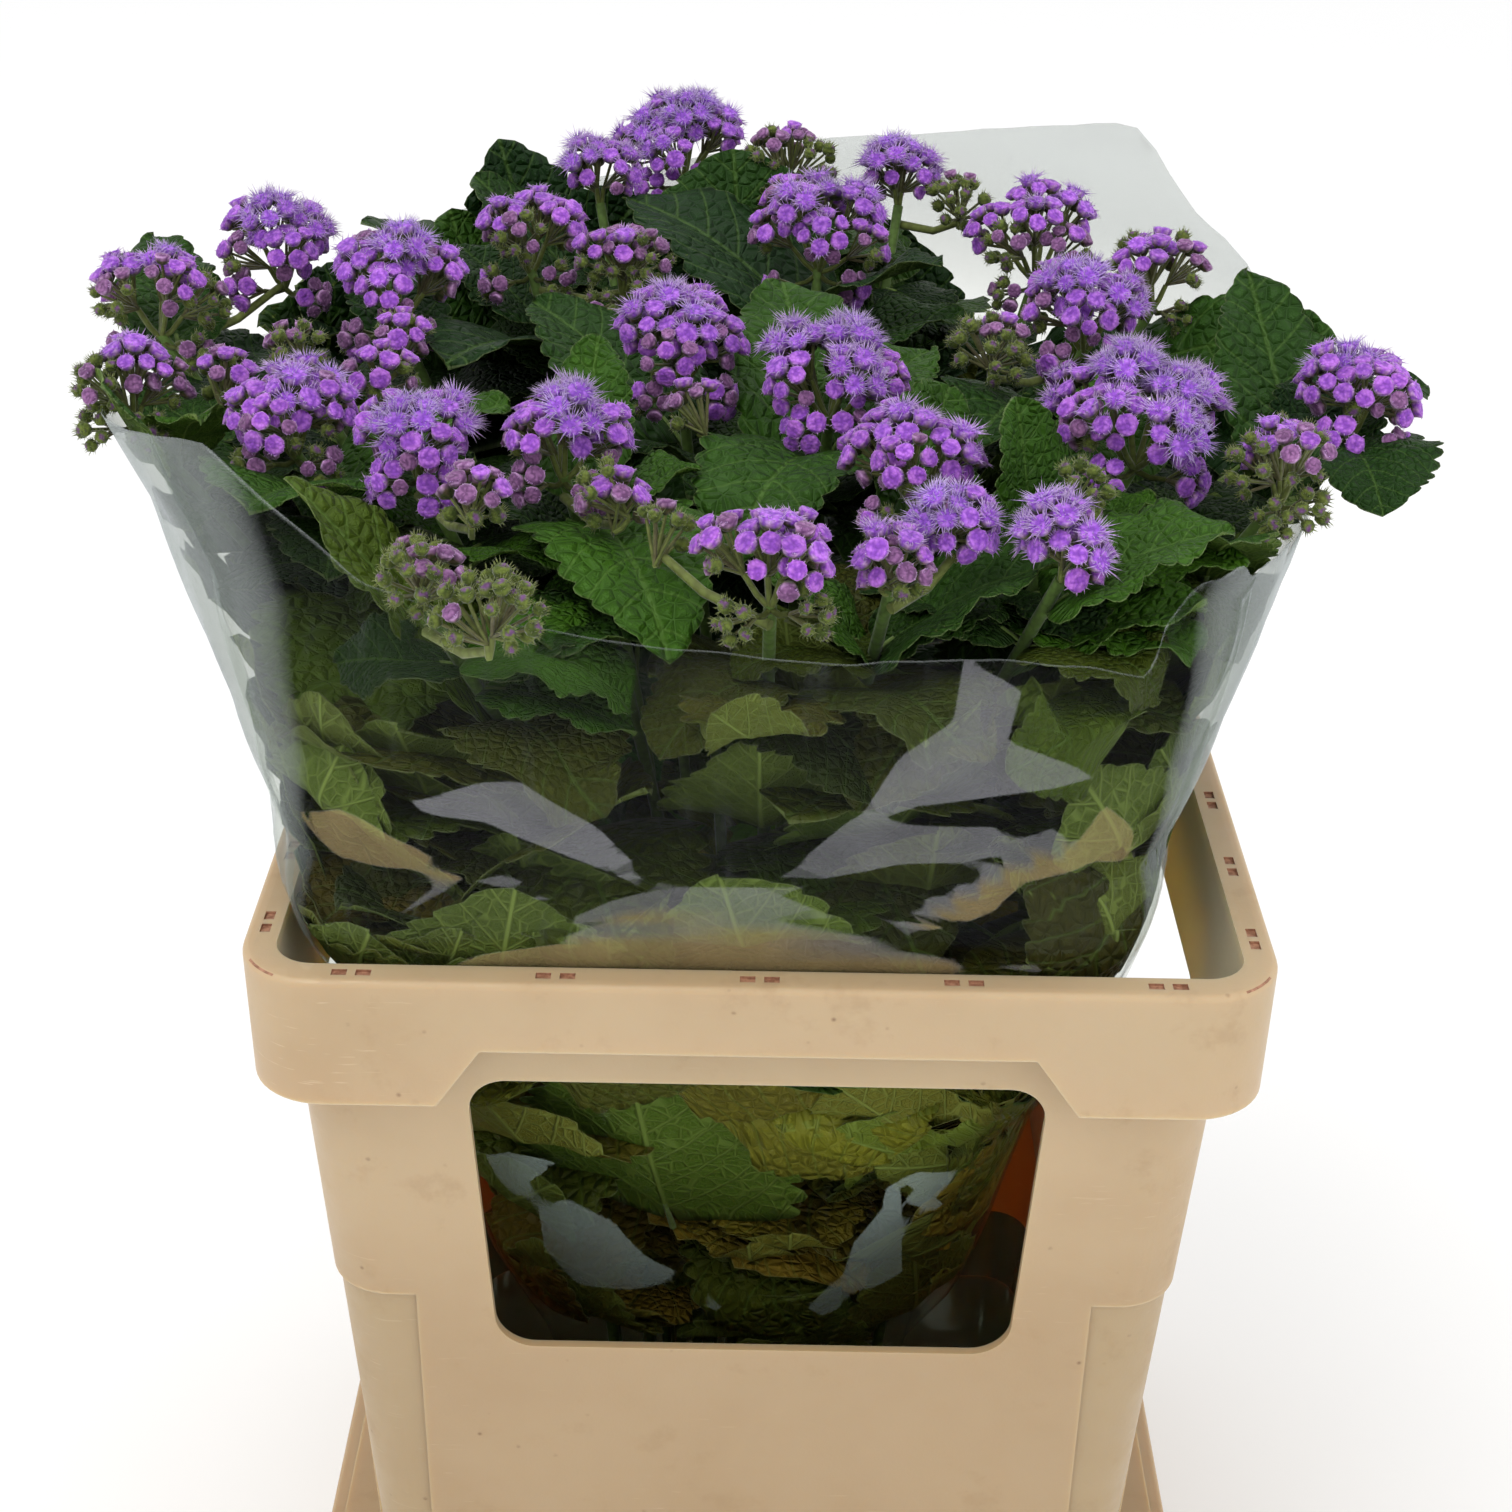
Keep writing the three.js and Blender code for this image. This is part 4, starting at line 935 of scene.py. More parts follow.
def add_leaf(batch, line, headings, sides, length, width, fold, tint, mood, detail, pucker, room):
    """One leaf: a petiole and a crenate, quilted blade with an upper and an under side."""
    tt, vv, notch = blade_grid(detail)
    half, wide = width / 2, np.interp(tt, OUTLINE_T, OUTLINE_W)
    lobe = 0.1 * vv ** 2 * np.clip((0.46 - tt) / 0.3, 0, 1)
    along = np.clip(tt - lobe, 0, 1)
    across = half * wide * vv * (1 + (0.13 * notch - 0.08) * np.abs(vv) ** 5 * np.clip((tt - 0.17) * 8, 0, 1))
    away = np.abs(across) / length
    side = sides(along)
    normal = unit(np.cross(headings(along), side))
    lift = blade_lift(tt, vv, wide, half, away, fold, pucker, mood)
    points = kept_inside(line(along) + side * across[..., None] + normal * lift[..., None], room)
    thick = LEAF_THICK * (1 - 0.5 * np.abs(vv) ** 6)[..., None]
    both = [(points + normal * k * thick).reshape(-1, 3) for k in (1, -1)]
    spots = np.stack([across / length, tt, np.full_like(tt, mood)], -1).reshape(-1, 3)
    faces = sheet_faces(*tt.shape)[:, ::-1]
    cells = (tt.shape[0] - 1) * (tt.shape[1] - 1)
    slots = np.zeros(len(faces))
    slots[cells:2 * cells] = 1
    tints = np.broadcast_to(tint, (tt.size, 4)).copy()
    # the alpha holds the distance in from the margin, for its pale colour and painted highlight
    tints[:, 3] = np.clip(((1 - np.abs(vv)) * half * wide / MARGIN_SPAN).ravel(), 0, 1)
    batch.add(np.concatenate(both), faces, slots, np.concatenate([tints, tints]),
              np.concatenate([spots, spots]))
    stalk_t = np.linspace(0, 0.9 * BLADE_FROM + 0.05, 5)
    batch.add_tube(line(stalk_t) - normal[0, 0] * 0.4, np.linspace(1.35, 0.9, 5), 6, 2, STALK_TINT)


def frame_leaf(batch, leaf, tint, mood, detail):
    """A leaf of the frame, with its form and place."""
    _, base, azimuth, rise, arch, length, width, roll = leaf
    line, headings = leaf_line(base, azimuth, rise, arch, length)

    def sides(t):
        level = np.broadcast_to((-math.sin(azimuth), math.cos(azimuth), 0.0), (*np.shape(t), 3))
        return turned(level, headings(t), roll)
    add_leaf(batch, line, headings, sides, length, width, 0.3, tint, mood, detail, 0.9, FRAME_LEAF_ROOM)


def grown_leaf(batch, rows, length, width, tint, mood, detail, pucker):
    """A leaf along rows of points, headings and side directions."""
    points, heads, levels = rows
    last = len(points) - 1
    add_leaf(batch, lambda t: between(points, np.asarray(t) * last),
             lambda t: between(heads, np.asarray(t) * last, True),
             lambda t: between(levels, np.asarray(t) * last, True),
             length, width, 0.16, tint, mood, detail, pucker, LEAF_ROOM)


def film_lines(bases, azimuths, rises, arches, lengths, room):
    """Midribs that grow out to the film and then lie along it: points, headings and side directions."""
    steps = 24
    points, heads, levels = [np.array(bases, float)], [], []
    flat = np.stack([np.cos(azimuths), np.sin(azimuths)], -1)
    heading = np.concatenate([flat * np.cos(rises)[:, None], np.sin(rises)[:, None]], -1)
    level = np.concatenate([-flat[:, 1:], flat[:, :1], np.zeros((len(flat), 1))], -1)
    for _ in range(steps + 1):
        at = points[-1]
        inside, out = film_room(at)
        mouth = film_edge(np.degrees(np.arctan2(at[:, 1], at[:, 0])))
        touch = (np.clip((room + 10 - inside) / 10, 0, 1) * (at[:, 2] < mouth + 2))[:, None]
        heading = heading - out * np.maximum(np.sum(heading * out, -1, keepdims=True), 0) * touch
        heading = heading - np.array([0, 0, 1]) * (arches / steps)[:, None] * (1 - 0.75 * touch)
        heading = unit(heading)
        round_film = unit(np.stack([-out[:, 1], out[:, 0], np.zeros(len(out))], -1))
        round_film *= np.where(np.sum(round_film * level, -1, keepdims=True) < 0, -1, 1)
        side = level * (1 - touch) + round_film * touch
        side = unit(side - heading * np.sum(side * heading, -1, keepdims=True))
        heads.append(heading)
        levels.append(side)
        after = at + heading * (lengths / steps)[:, None]
        inside, out = film_room(after)
        free = after[:, 2] > mouth + 2
        points.append(after - out * np.where(free, 0, np.maximum(room - inside, 0))[:, None])
    return np.stack(points[:steps + 1], 1), np.stack(heads, 1), np.stack(levels, 1)


LEAF_COLORS = ((31, 62, 24), (80, 128, 28), (124, 98, 30))
DEEP_GREEN, FRESH_GREEN, OLD_YELLOW = (np.array(rgb(*color)[:3]) for color in LEAF_COLORS)


def leaf_tint(rng, young=0.0, yellow=0.0, share=1.0):
    """A leaf's own green: deeper or fresher, and towards yellow where it is old, scaled by share, which
    paints light and shade on it.
    """
    fresher = np.clip(young + rng.normal(0, 0.2), 0, 1)
    green = DEEP_GREEN + (FRESH_GREEN - DEEP_GREEN) * fresher
    age = np.clip(yellow + rng.normal(0, 0.1) * (yellow > 0), 0, 1)
    return (*((green + (OLD_YELLOW - green) * age) * share), 1.0)


def vein_height(s, spots):
    """Heights of a leaf's veins, of its whole net of veins, and of the puckers between them."""
    across, along, mood = s.split(spots)
    away = s.math("ABSOLUTE", across)
    bend = s.times(away, s.plus(0.75, s.times(away, 1.2)))
    q = s.minus(along, bend)
    q = s.plus(s.times(q, LATERALS), s.times(mood, 0.3))
    lateral = s.minus(1.0, s.span(s.math("PINGPONG", q, 0.5), 0.015, 0.085))
    midrib = s.minus(1.0, s.span(away, 0.004, 0.016))
    shifted = s.node("ShaderNodeCombineXYZ", {"X": across, "Y": along, "Z": s.times(mood, 9.0)}).outputs[0]
    net = s.cells(shifted, 19.0, 0.9, feature="DISTANCE_TO_EDGE")
    fine = s.cells(shifted, 58.0, feature="DISTANCE_TO_EDGE")
    small = s.minus(1.0, s.span(net, 0.02, 0.13))
    tiny = s.minus(1.0, s.span(fine, 0.02, 0.2))
    dome = s.span(net, 0.0, 0.34)
    main = s.most(midrib, s.times(lateral, 0.8))
    return main, s.most(main, s.most(s.times(small, 0.55), s.times(tiny, 0.22))), dome


UNDER_GREEN, UNDER_VEIN, UPPER_VEIN = rgb(104, 128, 52), rgb(148, 168, 88), rgb(104, 138, 64)
# The valley colour is painted shade; the margin colour is pale hairs with a painted highlight.
PATCH_SHADE, PAINTED_VALLEY_SHADE, PALE_MARGIN_AND_HIGHLIGHT = rgb(14, 34, 12), rgb(12, 30, 10), rgb(150, 164, 112)
LEAF_GLOW = rgb(120, 160, 40)


def leaf_material(name, under):
    """A leaf's upper or under side, with its veins, puckers and pale margin, which is partly a painted
    highlight; the upper side has painted shade in the valleys along its veins.
    """
    s = Shader(name)
    given = s.attribute("tint")
    tint = given.outputs["Color"]
    main, veins, dome = vein_height(s, s.attribute("spot").outputs["Vector"])
    patchy = s.noise(s.place(), 60, 3)
    if under:
        base = s.mix(0.36, tint, UNDER_GREEN)
        color = s.mix(s.times(veins, 0.5), base, UNDER_VEIN)
        height, rough = veins, 0.62
    else:
        base = s.mix(s.span(patchy, 0.3, 0.7, 0, 0.5), tint, s.mix(0.5, tint, PATCH_SHADE))
        # painted shade: darker in the valleys along the sunken veins
        base = s.mix(s.span(dome, 0.0, 0.8, 0.3, 0.0), base, s.mix(0.5, tint, PAINTED_VALLEY_SHADE))
        color = s.mix(s.times(main, 0.3), base, UPPER_VEIN)
        height, rough = s.minus(s.times(dome, 0.9), s.times(veins, 0.6)), 0.46
    # the margin's pale hairs, painted lighter as a highlight along the edge
    margin = s.span(given.outputs["Alpha"], 0.005, 0.045, 0.3, 0.0)
    color = s.mix(margin, color, PALE_MARGIN_AND_HIGHLIGHT)
    normal = s.bump(s.plus(height, s.times(patchy, 0.3)), 0.0016, 0.9)
    body = s.principled(color, rough, normal, Specular_IOR_Level=0.17)
    return s.finish(s.blend(0.16, body, s.translucent(s.mix(0.5, color, LEAF_GLOW), normal)))


PAINTED_GAP_SHADE = (0.5, 0.44, 0.52, 1)


def soft_material(name, rough, sheen, glow, spots, bump):
    """Tinted plant matter with a fine stippled surface, with painted shade in the gaps between its raised
    cells.
    """
    s = Shader(name)
    tint = s.attribute("tint").outputs["Color"]
    away = s.cells(s.place(), spots, 0.8)
    # painted shade: darker in the low gaps between the raised cells
    color = s.mix(s.span(away, 0.25, 0.75, 0, 0.5), tint, s.mix(1.0, tint, PAINTED_GAP_SHADE, "MULTIPLY"))
    normal = s.bump(s.minus(1.0, away), bump, 0.7)
    body = s.principled(color, rough, normal, Sheen_Weight=sheen, Sheen_Roughness=0.4,
                        Specular_IOR_Level=0.25)
    return s.finish(s.blend(glow, body, s.translucent(color, normal)) if glow else body)


LEAF_TOP, LEAF_UNDER = leaf_material("leaf_upper", False), leaf_material("leaf_under", True)
STEM_GREEN = soft_material("stem_green", 0.6, 0.25, 0, 420.0, 0.0003)
STEM_COLOR = np.array(rgb(98, 128, 58)[:3])


def smooth_route(points, steps):
    """A rounded route through a stem's bends."""
    points = np.array(points)
    z = points[:, 2]
    fine = np.linspace(z[0], z[-1], steps)
    x, y = np.interp(fine, z, points[:, 0]), np.interp(fine, z, points[:, 1])
    for _ in range(2):
        x[1:-1] = (x[:-2] + 2 * x[1:-1] + x[2:]) / 4
        y[1:-1] = (y[:-2] + 2 * y[1:-1] + y[2:]) / 4
    return np.stack([x, y, fine], -1)


# Pairs of leaves down each stem: how far under the cluster, length, rise and arch.
WHORLS = [(26, 50, 34, 70), (48, 66, 36, 75), (74, 82, 36, 75), (104, 92, 34, 70), (140, 96, 32, 62),
          (180, 96, 28, 60), (224, 92, 26, 50), (270, 84, 20, 40), (312, 76, 20, 30)]
LEAF_ROOM, FRAME_LEAF_ROOM = 2.4, 2.2  # between leaves and the film
SHOOTS, SHOOT_Z = 62, (225, 520)
SHOOT_REACH = (30, 52)  # how far inside the film a shoot ends
# The middle of the large leaf in the front window, and how far off other leaves stay, so that none
# hides it.
WINDOW_LEAF, WINDOW_CLEAR = (-30, -126, 346), 52
# Single leaves that show: stem, foot in mm, then azimuth, rise and arch in degrees, length, width, how
# fresh and how yellow.
SINGLE_LEAVES = [
    (23, (-28, -104, 280), 256, 60, -10, 116, 94, 0.9, 0.1),
    (24, (5, -58, 268), 272, 0, 30, 84, 64, 0.6, 0.2), (25, (22, -66, 290), 300, 0, 32, 98, 60, 0.3, 0.85),
    (7, (-48, -60, 306), 236, 0, 24, 96, 66, 0.4, 0.4),
    (5, (-44, -54, 268), 226, -10, 20, 88, 60, 0.4, 0.6),
    (26, (46, -60, 336), 306, 0, 30, 92, 64, 0.4, 0.35),
    (7, (-84, -112, 456), 232, 14, -8, 96, 74, 0.35, 0.3),
    (5, (-80, -118, 412), 236, 8, 8, 92, 70, 0.3, 0.4),
    (25, (70, -116, 456), 301, 10, -8, 96, 74, 0.25, 0.3),
    (26, (66, -120, 414), 303, 8, 8, 90, 70, 0.4, 0.25), (24, (0, -118, 436), 266, 8, 2, 96, 80, 0.4, 0.15),
    (8, (-50, -116, 430), 256, 6, 4, 92, 76, 0.35, 0.2), (12, (-8, 122, 512), 101, 64, 6, 82, 88, 0.0, 0),
    (19, (150, -10, 520), 30, 30, 20, 60, 52, 0.1, 0), (27, (170, -38, 548), 15, 30, 25, 44, 42, 0.3, 0),
    (2, (-186, -40, 520), 215, 20, 20, 70, 52, 0.5, 0),
    (21, (82, -96, 478), 312, -8, 18, 92, 78, 0.25, 0.2),
    (21, (84, -136, 443), 303, 27, 5, 88, 84, 0.3, 0.3),
    (26, (80, -140, 426), 305, 10, 5, 84, 76, 0.25, 0.3),
    (20, (80, -105, 452), 318, 20, 5, 84, 76, 0.3, 0.2),
    (26, (74, -122, 522), 332, 14, 22, 58, 48, 0.95, 0),
    (20, (88, -110, 530), 350, 22, 24, 54, 44, 0.85, 0), (20, (88, -118, 526), 340, 12, 16, 42, 38, 0.9, 0),
    (13, (50, 120, 488), 20, 12, 10, 90, 80, 0.1, 0), (18, (130, 20, 488), 40, 15, 10, 90, 80, 0.1, 0),
    (14, (-30, 30, 488), 60, 15, 10, 84, 76, 0.1, 0), (13, (34, 146, 480), 80, 30, 10, 90, 90, 0.1, 0),
    (24, (6, -60, 236), 275, -5, 20, 84, 72, 0.7, 0.4), (23, (2, -160, 512), 262, 20, 30, 50, 44, 0.3, 0.3),
    (24, (36, -150, 510), 300, 20, 30, 50, 44, 0.3, 0.3),
    (25, (78, -148, 508), 285, 15, 30, 52, 46, 0.4, 0.2),
    (8, (-40, -118, 520), 250, 25, 30, 56, 50, 0.5, 0), (3, (-150, 20, 526), 160, 20, 20, 74, 66, 0.1, 0),
    (2, (-160, -36, 528), 150, 25, 20, 56, 50, 0.3, 0), (25, (40, -64, 232), 305, 0, 20, 84, 66, 0.5, 0.7),
    (7, (-44, -60, 232), 238, 0, 20, 84, 66, 0.4, 0.8),
]


def in_clusters(points):
    """Whether any of each leaf's points is within a flower cluster."""
    hit = np.zeros(len(points), bool)
    for clusters in STEMS:
        for x, y, rise, radius, *_ in clusters:
            apart = (points - [x, y, COLLAR_TOP + rise]) / [radius + 1, radius + 1, radius * 0.85 + 1]
            hit |= (np.linalg.norm(apart, axis=-1) < 1).any(axis=1)
    return hit


def side_shoots(rng):
    """Short shoots that carry leaves out to the film: the stem they grow from, foot and tip."""
    shoots = []
    for number in range(SHOOTS):
        turn = number * GOLDEN + rng.normal(0, 0.1)
        low, high = SHOOT_Z
        z = low + (high - low) * ((number * 0.618 + 0.3) % 1)
        tip = film_point(np.array(turn), np.array(z), rng.uniform(*SHOOT_REACH))
        if math.sin(turn) > 0.2 and z < COLLAR_TOP + 30:
            continue
        starts = [stalk_point(stem, z - 40) for stem in range(len(STEMS))]
        reach = [np.linalg.norm((start - tip) * [1, 1, 0.5]) for start in starts]
        stem = int(np.argmin(reach))
        shoots.append((stem, stalk_point(stem, z - 40 - 0.2 * reach[stem]), tip))
    return shoots


def leaf_rows(rng, shoots):
    """Every leaf that grows by rule: stem, depth number, base, azimuth, rise, arch, length and width."""
    for stem in range(len(STEMS)):
        turn = stem * GOLDEN
        under = underside(STEMS[stem][0])
        for whorl, (depth, length, rise, arch) in enumerate(WHORLS):
            turn += math.pi / 2 + rng.normal(0, 0.2)
            for side in (0, math.pi):
                size = length * rng.uniform(0.8, 1.12)
                base = stalk_point(stem, under - depth - rng.uniform(0, 9))
                yield (stem, whorl, base, turn + side, math.radians(rise + rng.normal(0, 9)),
                       math.radians(arch + rng.normal(0, 12)), size, size * rng.uniform(0.7, 0.86))
    for stem, _, tip in shoots:
        outward = math.atan2(tip[1], tip[0]) + rng.normal(0, 0.4)
        for side in (-1, 0, 1):
            size = rng.uniform(66, 96)
            yield (stem, 4, tip, outward + side * rng.uniform(0.7, 1.3), math.radians(rng.uniform(-25, 65)),
                   math.radians(rng.uniform(10, 60)), size, size * rng.uniform(0.72, 0.88))


# What is tried in turn until a grown leaf is clear of the flowers: added turn, fall in degrees, length.
GROWN_TRIES = ((0, 0, 1), (0.5, 8, 1), (-0.5, 16, 0.9), (0.2, 30, 0.8), (0, 45, 0.7))


def grown_leaves(rng, shoots):
    """The leaves that grow by rule, each bent clear of the flowers and along the film where it meets it.
    The ones that would be lost in the middle of the bunch are left out."""
    stems, whorls, bases, turns, rises, arches, lengths, widths = (
        np.array(column) for column in zip(*leaf_rows(rng, shoots)))
    left = np.ones(len(stems), bool)
    lines = None
    for turned_by, lower, shorter in GROWN_TRIES:
        tried = film_lines(bases, turns + turned_by, rises - math.radians(lower), arches, lengths * shorter,
                           LEAF_ROOM + 1)
        edge = tried[2] * (widths * 0.4)[:, None, None]
        body = np.concatenate([(tried[0] + edge * k)[:, 6:] for k in (-1, 0, 1)], 1)
        clear = ~in_clusters(body) & left
        if lines is None:
            lines = [part.copy() for part in tried]
        for kept, part in zip(lines, tried):
            kept[clear] = part[clear]
        lengths = np.where(clear, lengths * shorter, lengths)
        left &= ~clear
    tips = lines[0][:, -1]
    seen = (film_room(tips)[0] < 34) | (tips[:, 2] > COLLAR_TOP + 56)
    for i in np.flatnonzero(~left & seen):
        yield int(stems[i]), int(whorls[i]), [part[i] for part in lines], lengths[i], widths[i]


def add_stems(batches, rng):
    """The stems themselves, each in its own green."""
    for batch, points in zip(batches, STALKS):
        route = smooth_route(points, 26)
        green = (*(STEM_COLOR * rng.uniform(0.8, 1.1)), 1)
        batch.add_tube(route, np.linspace(2.6, 1.9, len(route)), 9, 2, green)


def add_frame_leaves(batches, rng):
    """The frame's leaves: fresher to the front of the top, and older lower down."""
    for number, leaf in enumerate(FRAME_LEAVES):
        stem, (x, y, z) = leaf[0], leaf[1]
        is_high = z > COLLAR_TOP + 60
        fresh = np.interp(y, (-120, -40, 60), (0.85, 0.42, 0.1)) if is_high else 0.4
        fresh *= np.interp(x, (120, 170), (1, 0.2))
        tint = leaf_tint(rng, fresh, 0.0 if is_high else 0.25)
        is_near = number < SHOWN_COUNT and y < 60
        frame_leaf(batches[stem], leaf, tint, rng.random(), FINE if is_near else FAIR)


def add_shoots(batches, shoots):
    """The side shoots' stalks, which bend out and then up."""
    for stem, foot, tip in shoots:
        bend = foot + (tip - foot) * [0.7, 0.7, 0.4]
        batches[stem].add_tube([foot, bend, tip], (1.7, 1.4, 1.1), 6, 2, STALK_TINT)


def add_grown_leaves(batches, rng, shoots):
    """The leaves that grow by rule: painted shade makes them darker in the bunch over the collar's top,
    painted light makes them lighter low down and where pressed on the film, and they are yellower down in the
    holder.
    """
    for stem, whorl, rows, length, width in grown_leaves(rng, shoots):
        tip = rows[0][-1]
        if np.linalg.norm(tip - WINDOW_LEAF) < WINDOW_CLEAR:
            continue
        is_shown = tip[1] < -120 or tip[2] > COLLAR_TOP + 90
        is_pressed = tip[1] < -105 and tip[2] < COLLAR_TOP + 80
        low = float(np.clip((370 - tip[2]) / 100, 0, 1))
        # painted light and shade: much lighter low down, darker from just under the collar's top up into the
        # bunch, and lighter where pressed on the film
        share = np.interp(tip[2], (380, 430, 500, 560), (2.4, 0.6, 0.4, 0.85))
        share = max(share, 0.85) if is_pressed else share
        tint = leaf_tint(rng, 0.35 - 0.05 * whorl, 0.5 * low + 0.3 * is_pressed, share)
        grown_leaf(batches[stem], rows, length, width, tint, rng.random(), FAIR if is_shown else PLAIN, 0.8)


def add_single_leaves(batches, rng):
    """The single leaves that show, on the film where they meet it."""
    stems, feet, turns, rises, arches, lengths, widths, young, yellow = zip(*SINGLE_LEAVES)
    turns, rises, arches = (np.radians(np.array(column, float)) for column in (turns, rises, arches))
    lines = film_lines(feet, turns, rises, arches, np.array(lengths, float), LEAF_ROOM + 1)
    for i, stem in enumerate(stems):
        rows = [part[i] for part in lines]
        # painted shade: darker for a leaf whose foot is in the band round the collar's top
        share = 0.72 if 400 < rows[0][0][2] < 500 else 1
        tint = leaf_tint(rng, young[i], yellow[i], share)
        grown_leaf(batches[stem - 1], rows, lengths[i], widths[i], tint, rng.random(), FINE, 0.9)


def make_foliage():
    """Each stem with all of its leaves, as one piece."""
    rng = np.random.default_rng(7)
    batches = [Batch() for _ in STEMS]
    add_stems(batches, rng)
    add_frame_leaves(batches, rng)
    shoots = side_shoots(rng)
    add_shoots(batches, shoots)
    add_grown_leaves(batches, rng, shoots)
    add_single_leaves(batches, rng)
    for index, batch in enumerate(batches):
        piece = batch.build(f"foliage_{index + 1:02d}", [LEAF_TOP, LEAF_UNDER, STEM_GREEN])
        stand_for(piece, f"stem_{index + 1:02d}")


make_foliage()


# ---------------------------------------------------------------- flower heads


def color_row(*values):
    return np.array(rgb(*values))


BRACT, BRACT_TIP = color_row(60, 78, 32), color_row(112, 104, 74)
VIOLET, VIOLET_DARK = color_row(208, 134, 255), color_row(162, 92, 222)
STRIPE, BUD_TIP = color_row(200, 160, 206), color_row(230, 190, 246)
PALE, PALE_DARK = color_row(170, 124, 180), color_row(130, 90, 140)
GREEN_BUD, GREEN_DARK, HAIR = color_row(118, 134, 60), color_row(78, 96, 40), color_row(168, 178, 112)
THREAD, THREAD_TIP = color_row(214, 162, 255), color_row(244, 224, 255)

# Florets round a head, round one on the hidden side, and round a bud.
HEAD_SIDES, PLAIN_SIDES, BUD_SIDES = 12, 10, 7
HEAD_REACH = 4
# A head's outline from its stalk up: radius, height, colour of the even and of the odd florets,
# and how far the odd ones stand back.
DISC = [
    (0.6, -3.9, BRACT, BRACT, 0), (2.3, -3.2, BRACT, BRACT_TIP, 0.1), (3.3, -2.0, BRACT_TIP, BRACT, 0.2),
    (3.55, -0.8, STRIPE, VIOLET_DARK, 0.3), (4.0, 0.3, BUD_TIP, VIOLET_DARK, 0.42),
    (3.7, 0.95, VIOLET, VIOLET_DARK, 0.25), (2.9, 1.2, VIOLET, VIOLET_DARK, 0.15),
    (1.8, 1.35, VIOLET_DARK, VIOLET, 0.1), (0.8, 1.3, VIOLET_DARK, VIOLET_DARK, 0),
]
PALE_DISC = [
    (0.6, -3.6, BRACT, BRACT, 0), (2.1, -2.9, BRACT, BRACT_TIP, 0.1), (2.9, -1.7, BRACT_TIP, BRACT, 0.2),
    (3.1, -0.6, STRIPE, PALE_DARK, 0.25), (3.35, 0.3, BUD_TIP, PALE_DARK, 0.35),
    (2.9, 0.95, PALE, PALE_DARK, 0.2), (1.8, 1.2, PALE_DARK, PALE, 0.12), (0.8, 1.2, PALE_DARK, PALE, 0.05),
]
GREEN_BALL = [
    (0.5, -3.2, GREEN_DARK, GREEN_DARK, 0), (1.9, -2.5, GREEN_DARK, GREEN_BUD, 0.15),
    (2.7, -1.2, GREEN_BUD, GREEN_DARK, 0.25), (2.8, 0.1, GREEN_BUD, GREEN_DARK, 0.25),
    (2.2, 1.3, GREEN_BUD, GREEN_DARK, 0.2), (1.1, 1.9, PALE_DARK, GREEN_BUD, 0.1),
]
# The threads of each kind of head: how many, the least share of the reach that they stand at, length.
THREADS = {"pale": (7, 0.8, 1.3), "disc": (12, 0.85, 1.6), "some": (26, 0.55, 3.4), "open": (58, 0.1, 5.6)}


class Form:
    """A small body to stamp many times: points, quads, triangles and tints."""

    def __init__(self):
        self.points, self.quads, self.tris, self.tints = [], [], [], []
        self.count = 0

    def add(self, points, quads, tris, tints):
        self.points.append(points)
        self.tints.append(np.broadcast_to(tints, (len(points), 4)))
        if len(quads):
            self.quads.append(np.asarray(quads) + self.count)
        self.tris.append(np.asarray(tris) + self.count)
        self.count += len(points)

    def close(self):
        self.points, self.tints = np.concatenate(self.points), np.concatenate(self.tints)
        self.quads = np.concatenate(self.quads) if self.quads else None
        self.tris = np.concatenate(self.tris)
        return self


def add_turned(form, rows, sides, rng):
    """A turned head whose florets stand in rings: even and odd ones differ low down, and any in the top."""
    turn = np.arange(sides) * 2 * math.pi / sides
    points, tints = [], []
    for number, (radius, z, even, odd, back) in enumerate(rows):
        is_low = number < len(rows) / 2
        is_odd = np.arange(sides) % 2 if is_low else rng.integers(0, 2, sides)
        rough = 0 if is_low else rng.normal(0, 0.12, sides)
        reach, level = radius - back * is_odd, z - 0.6 * back * is_odd + rough
        points.append(np.stack([reach * np.cos(turn), reach * np.sin(turn), level], -1))
        tints.append(np.where(is_odd[:, None] == 1, odd, even))
    top, bottom = rows[-1], rows[0]
    points += [np.array([[0, 0, top[1] - 0.15]]), np.array([[0, 0, bottom[1] - 0.2]])]
    # painted shade: the top's middle point sits a little low and is painted darker, in the head's dimple
    tints += [top[2][None] * 0.85, bottom[2][None]]
    quads = grid_faces(len(rows), sides, closed=True)
    side = np.arange(sides)
    nxt, last, centre = (side + 1) % sides, (len(rows) - 1) * sides, len(rows) * sides
    tris = np.concatenate([np.stack([np.full(sides, centre), last + side, last + nxt], -1),
                           np.stack([np.full(sides, centre + 1), nxt, side], -1)])
    form.add(np.concatenate(points), quads, tris, np.concatenate(tints))


def add_threads(form, roots, headings, lengths, width, low, high):
    """Fine three-sided threads that taper to a point."""
    count = len(roots)
    headings = unit(headings)
    guide = np.broadcast_to((0.3, 0.5, 0.81), headings.shape)
    first = unit(np.cross(headings, guide))
    second = np.cross(headings, first)
    corner = np.arange(3) * 2 * math.pi / 3
    spread = np.cos(corner)[None, :, None] * first[:, None] + np.sin(corner)[None, :, None] * second[:, None]
    tips = roots + headings * lengths[:, None]
    points = np.concatenate([roots[:, None] + spread * width, tips[:, None]], 1)
    tints = np.empty((count, 4, 4))
    tints[:, :3], tints[:, 3] = low, high
    walls = np.array([[0, 1, 3], [1, 2, 3], [2, 0, 3], [0, 2, 1]])
    tris = (walls[None] + 4 * np.arange(count)[:, None, None]).reshape(-1, 3)
    form.add(points.reshape(-1, 3), [], tris, tints.reshape(-1, 4))


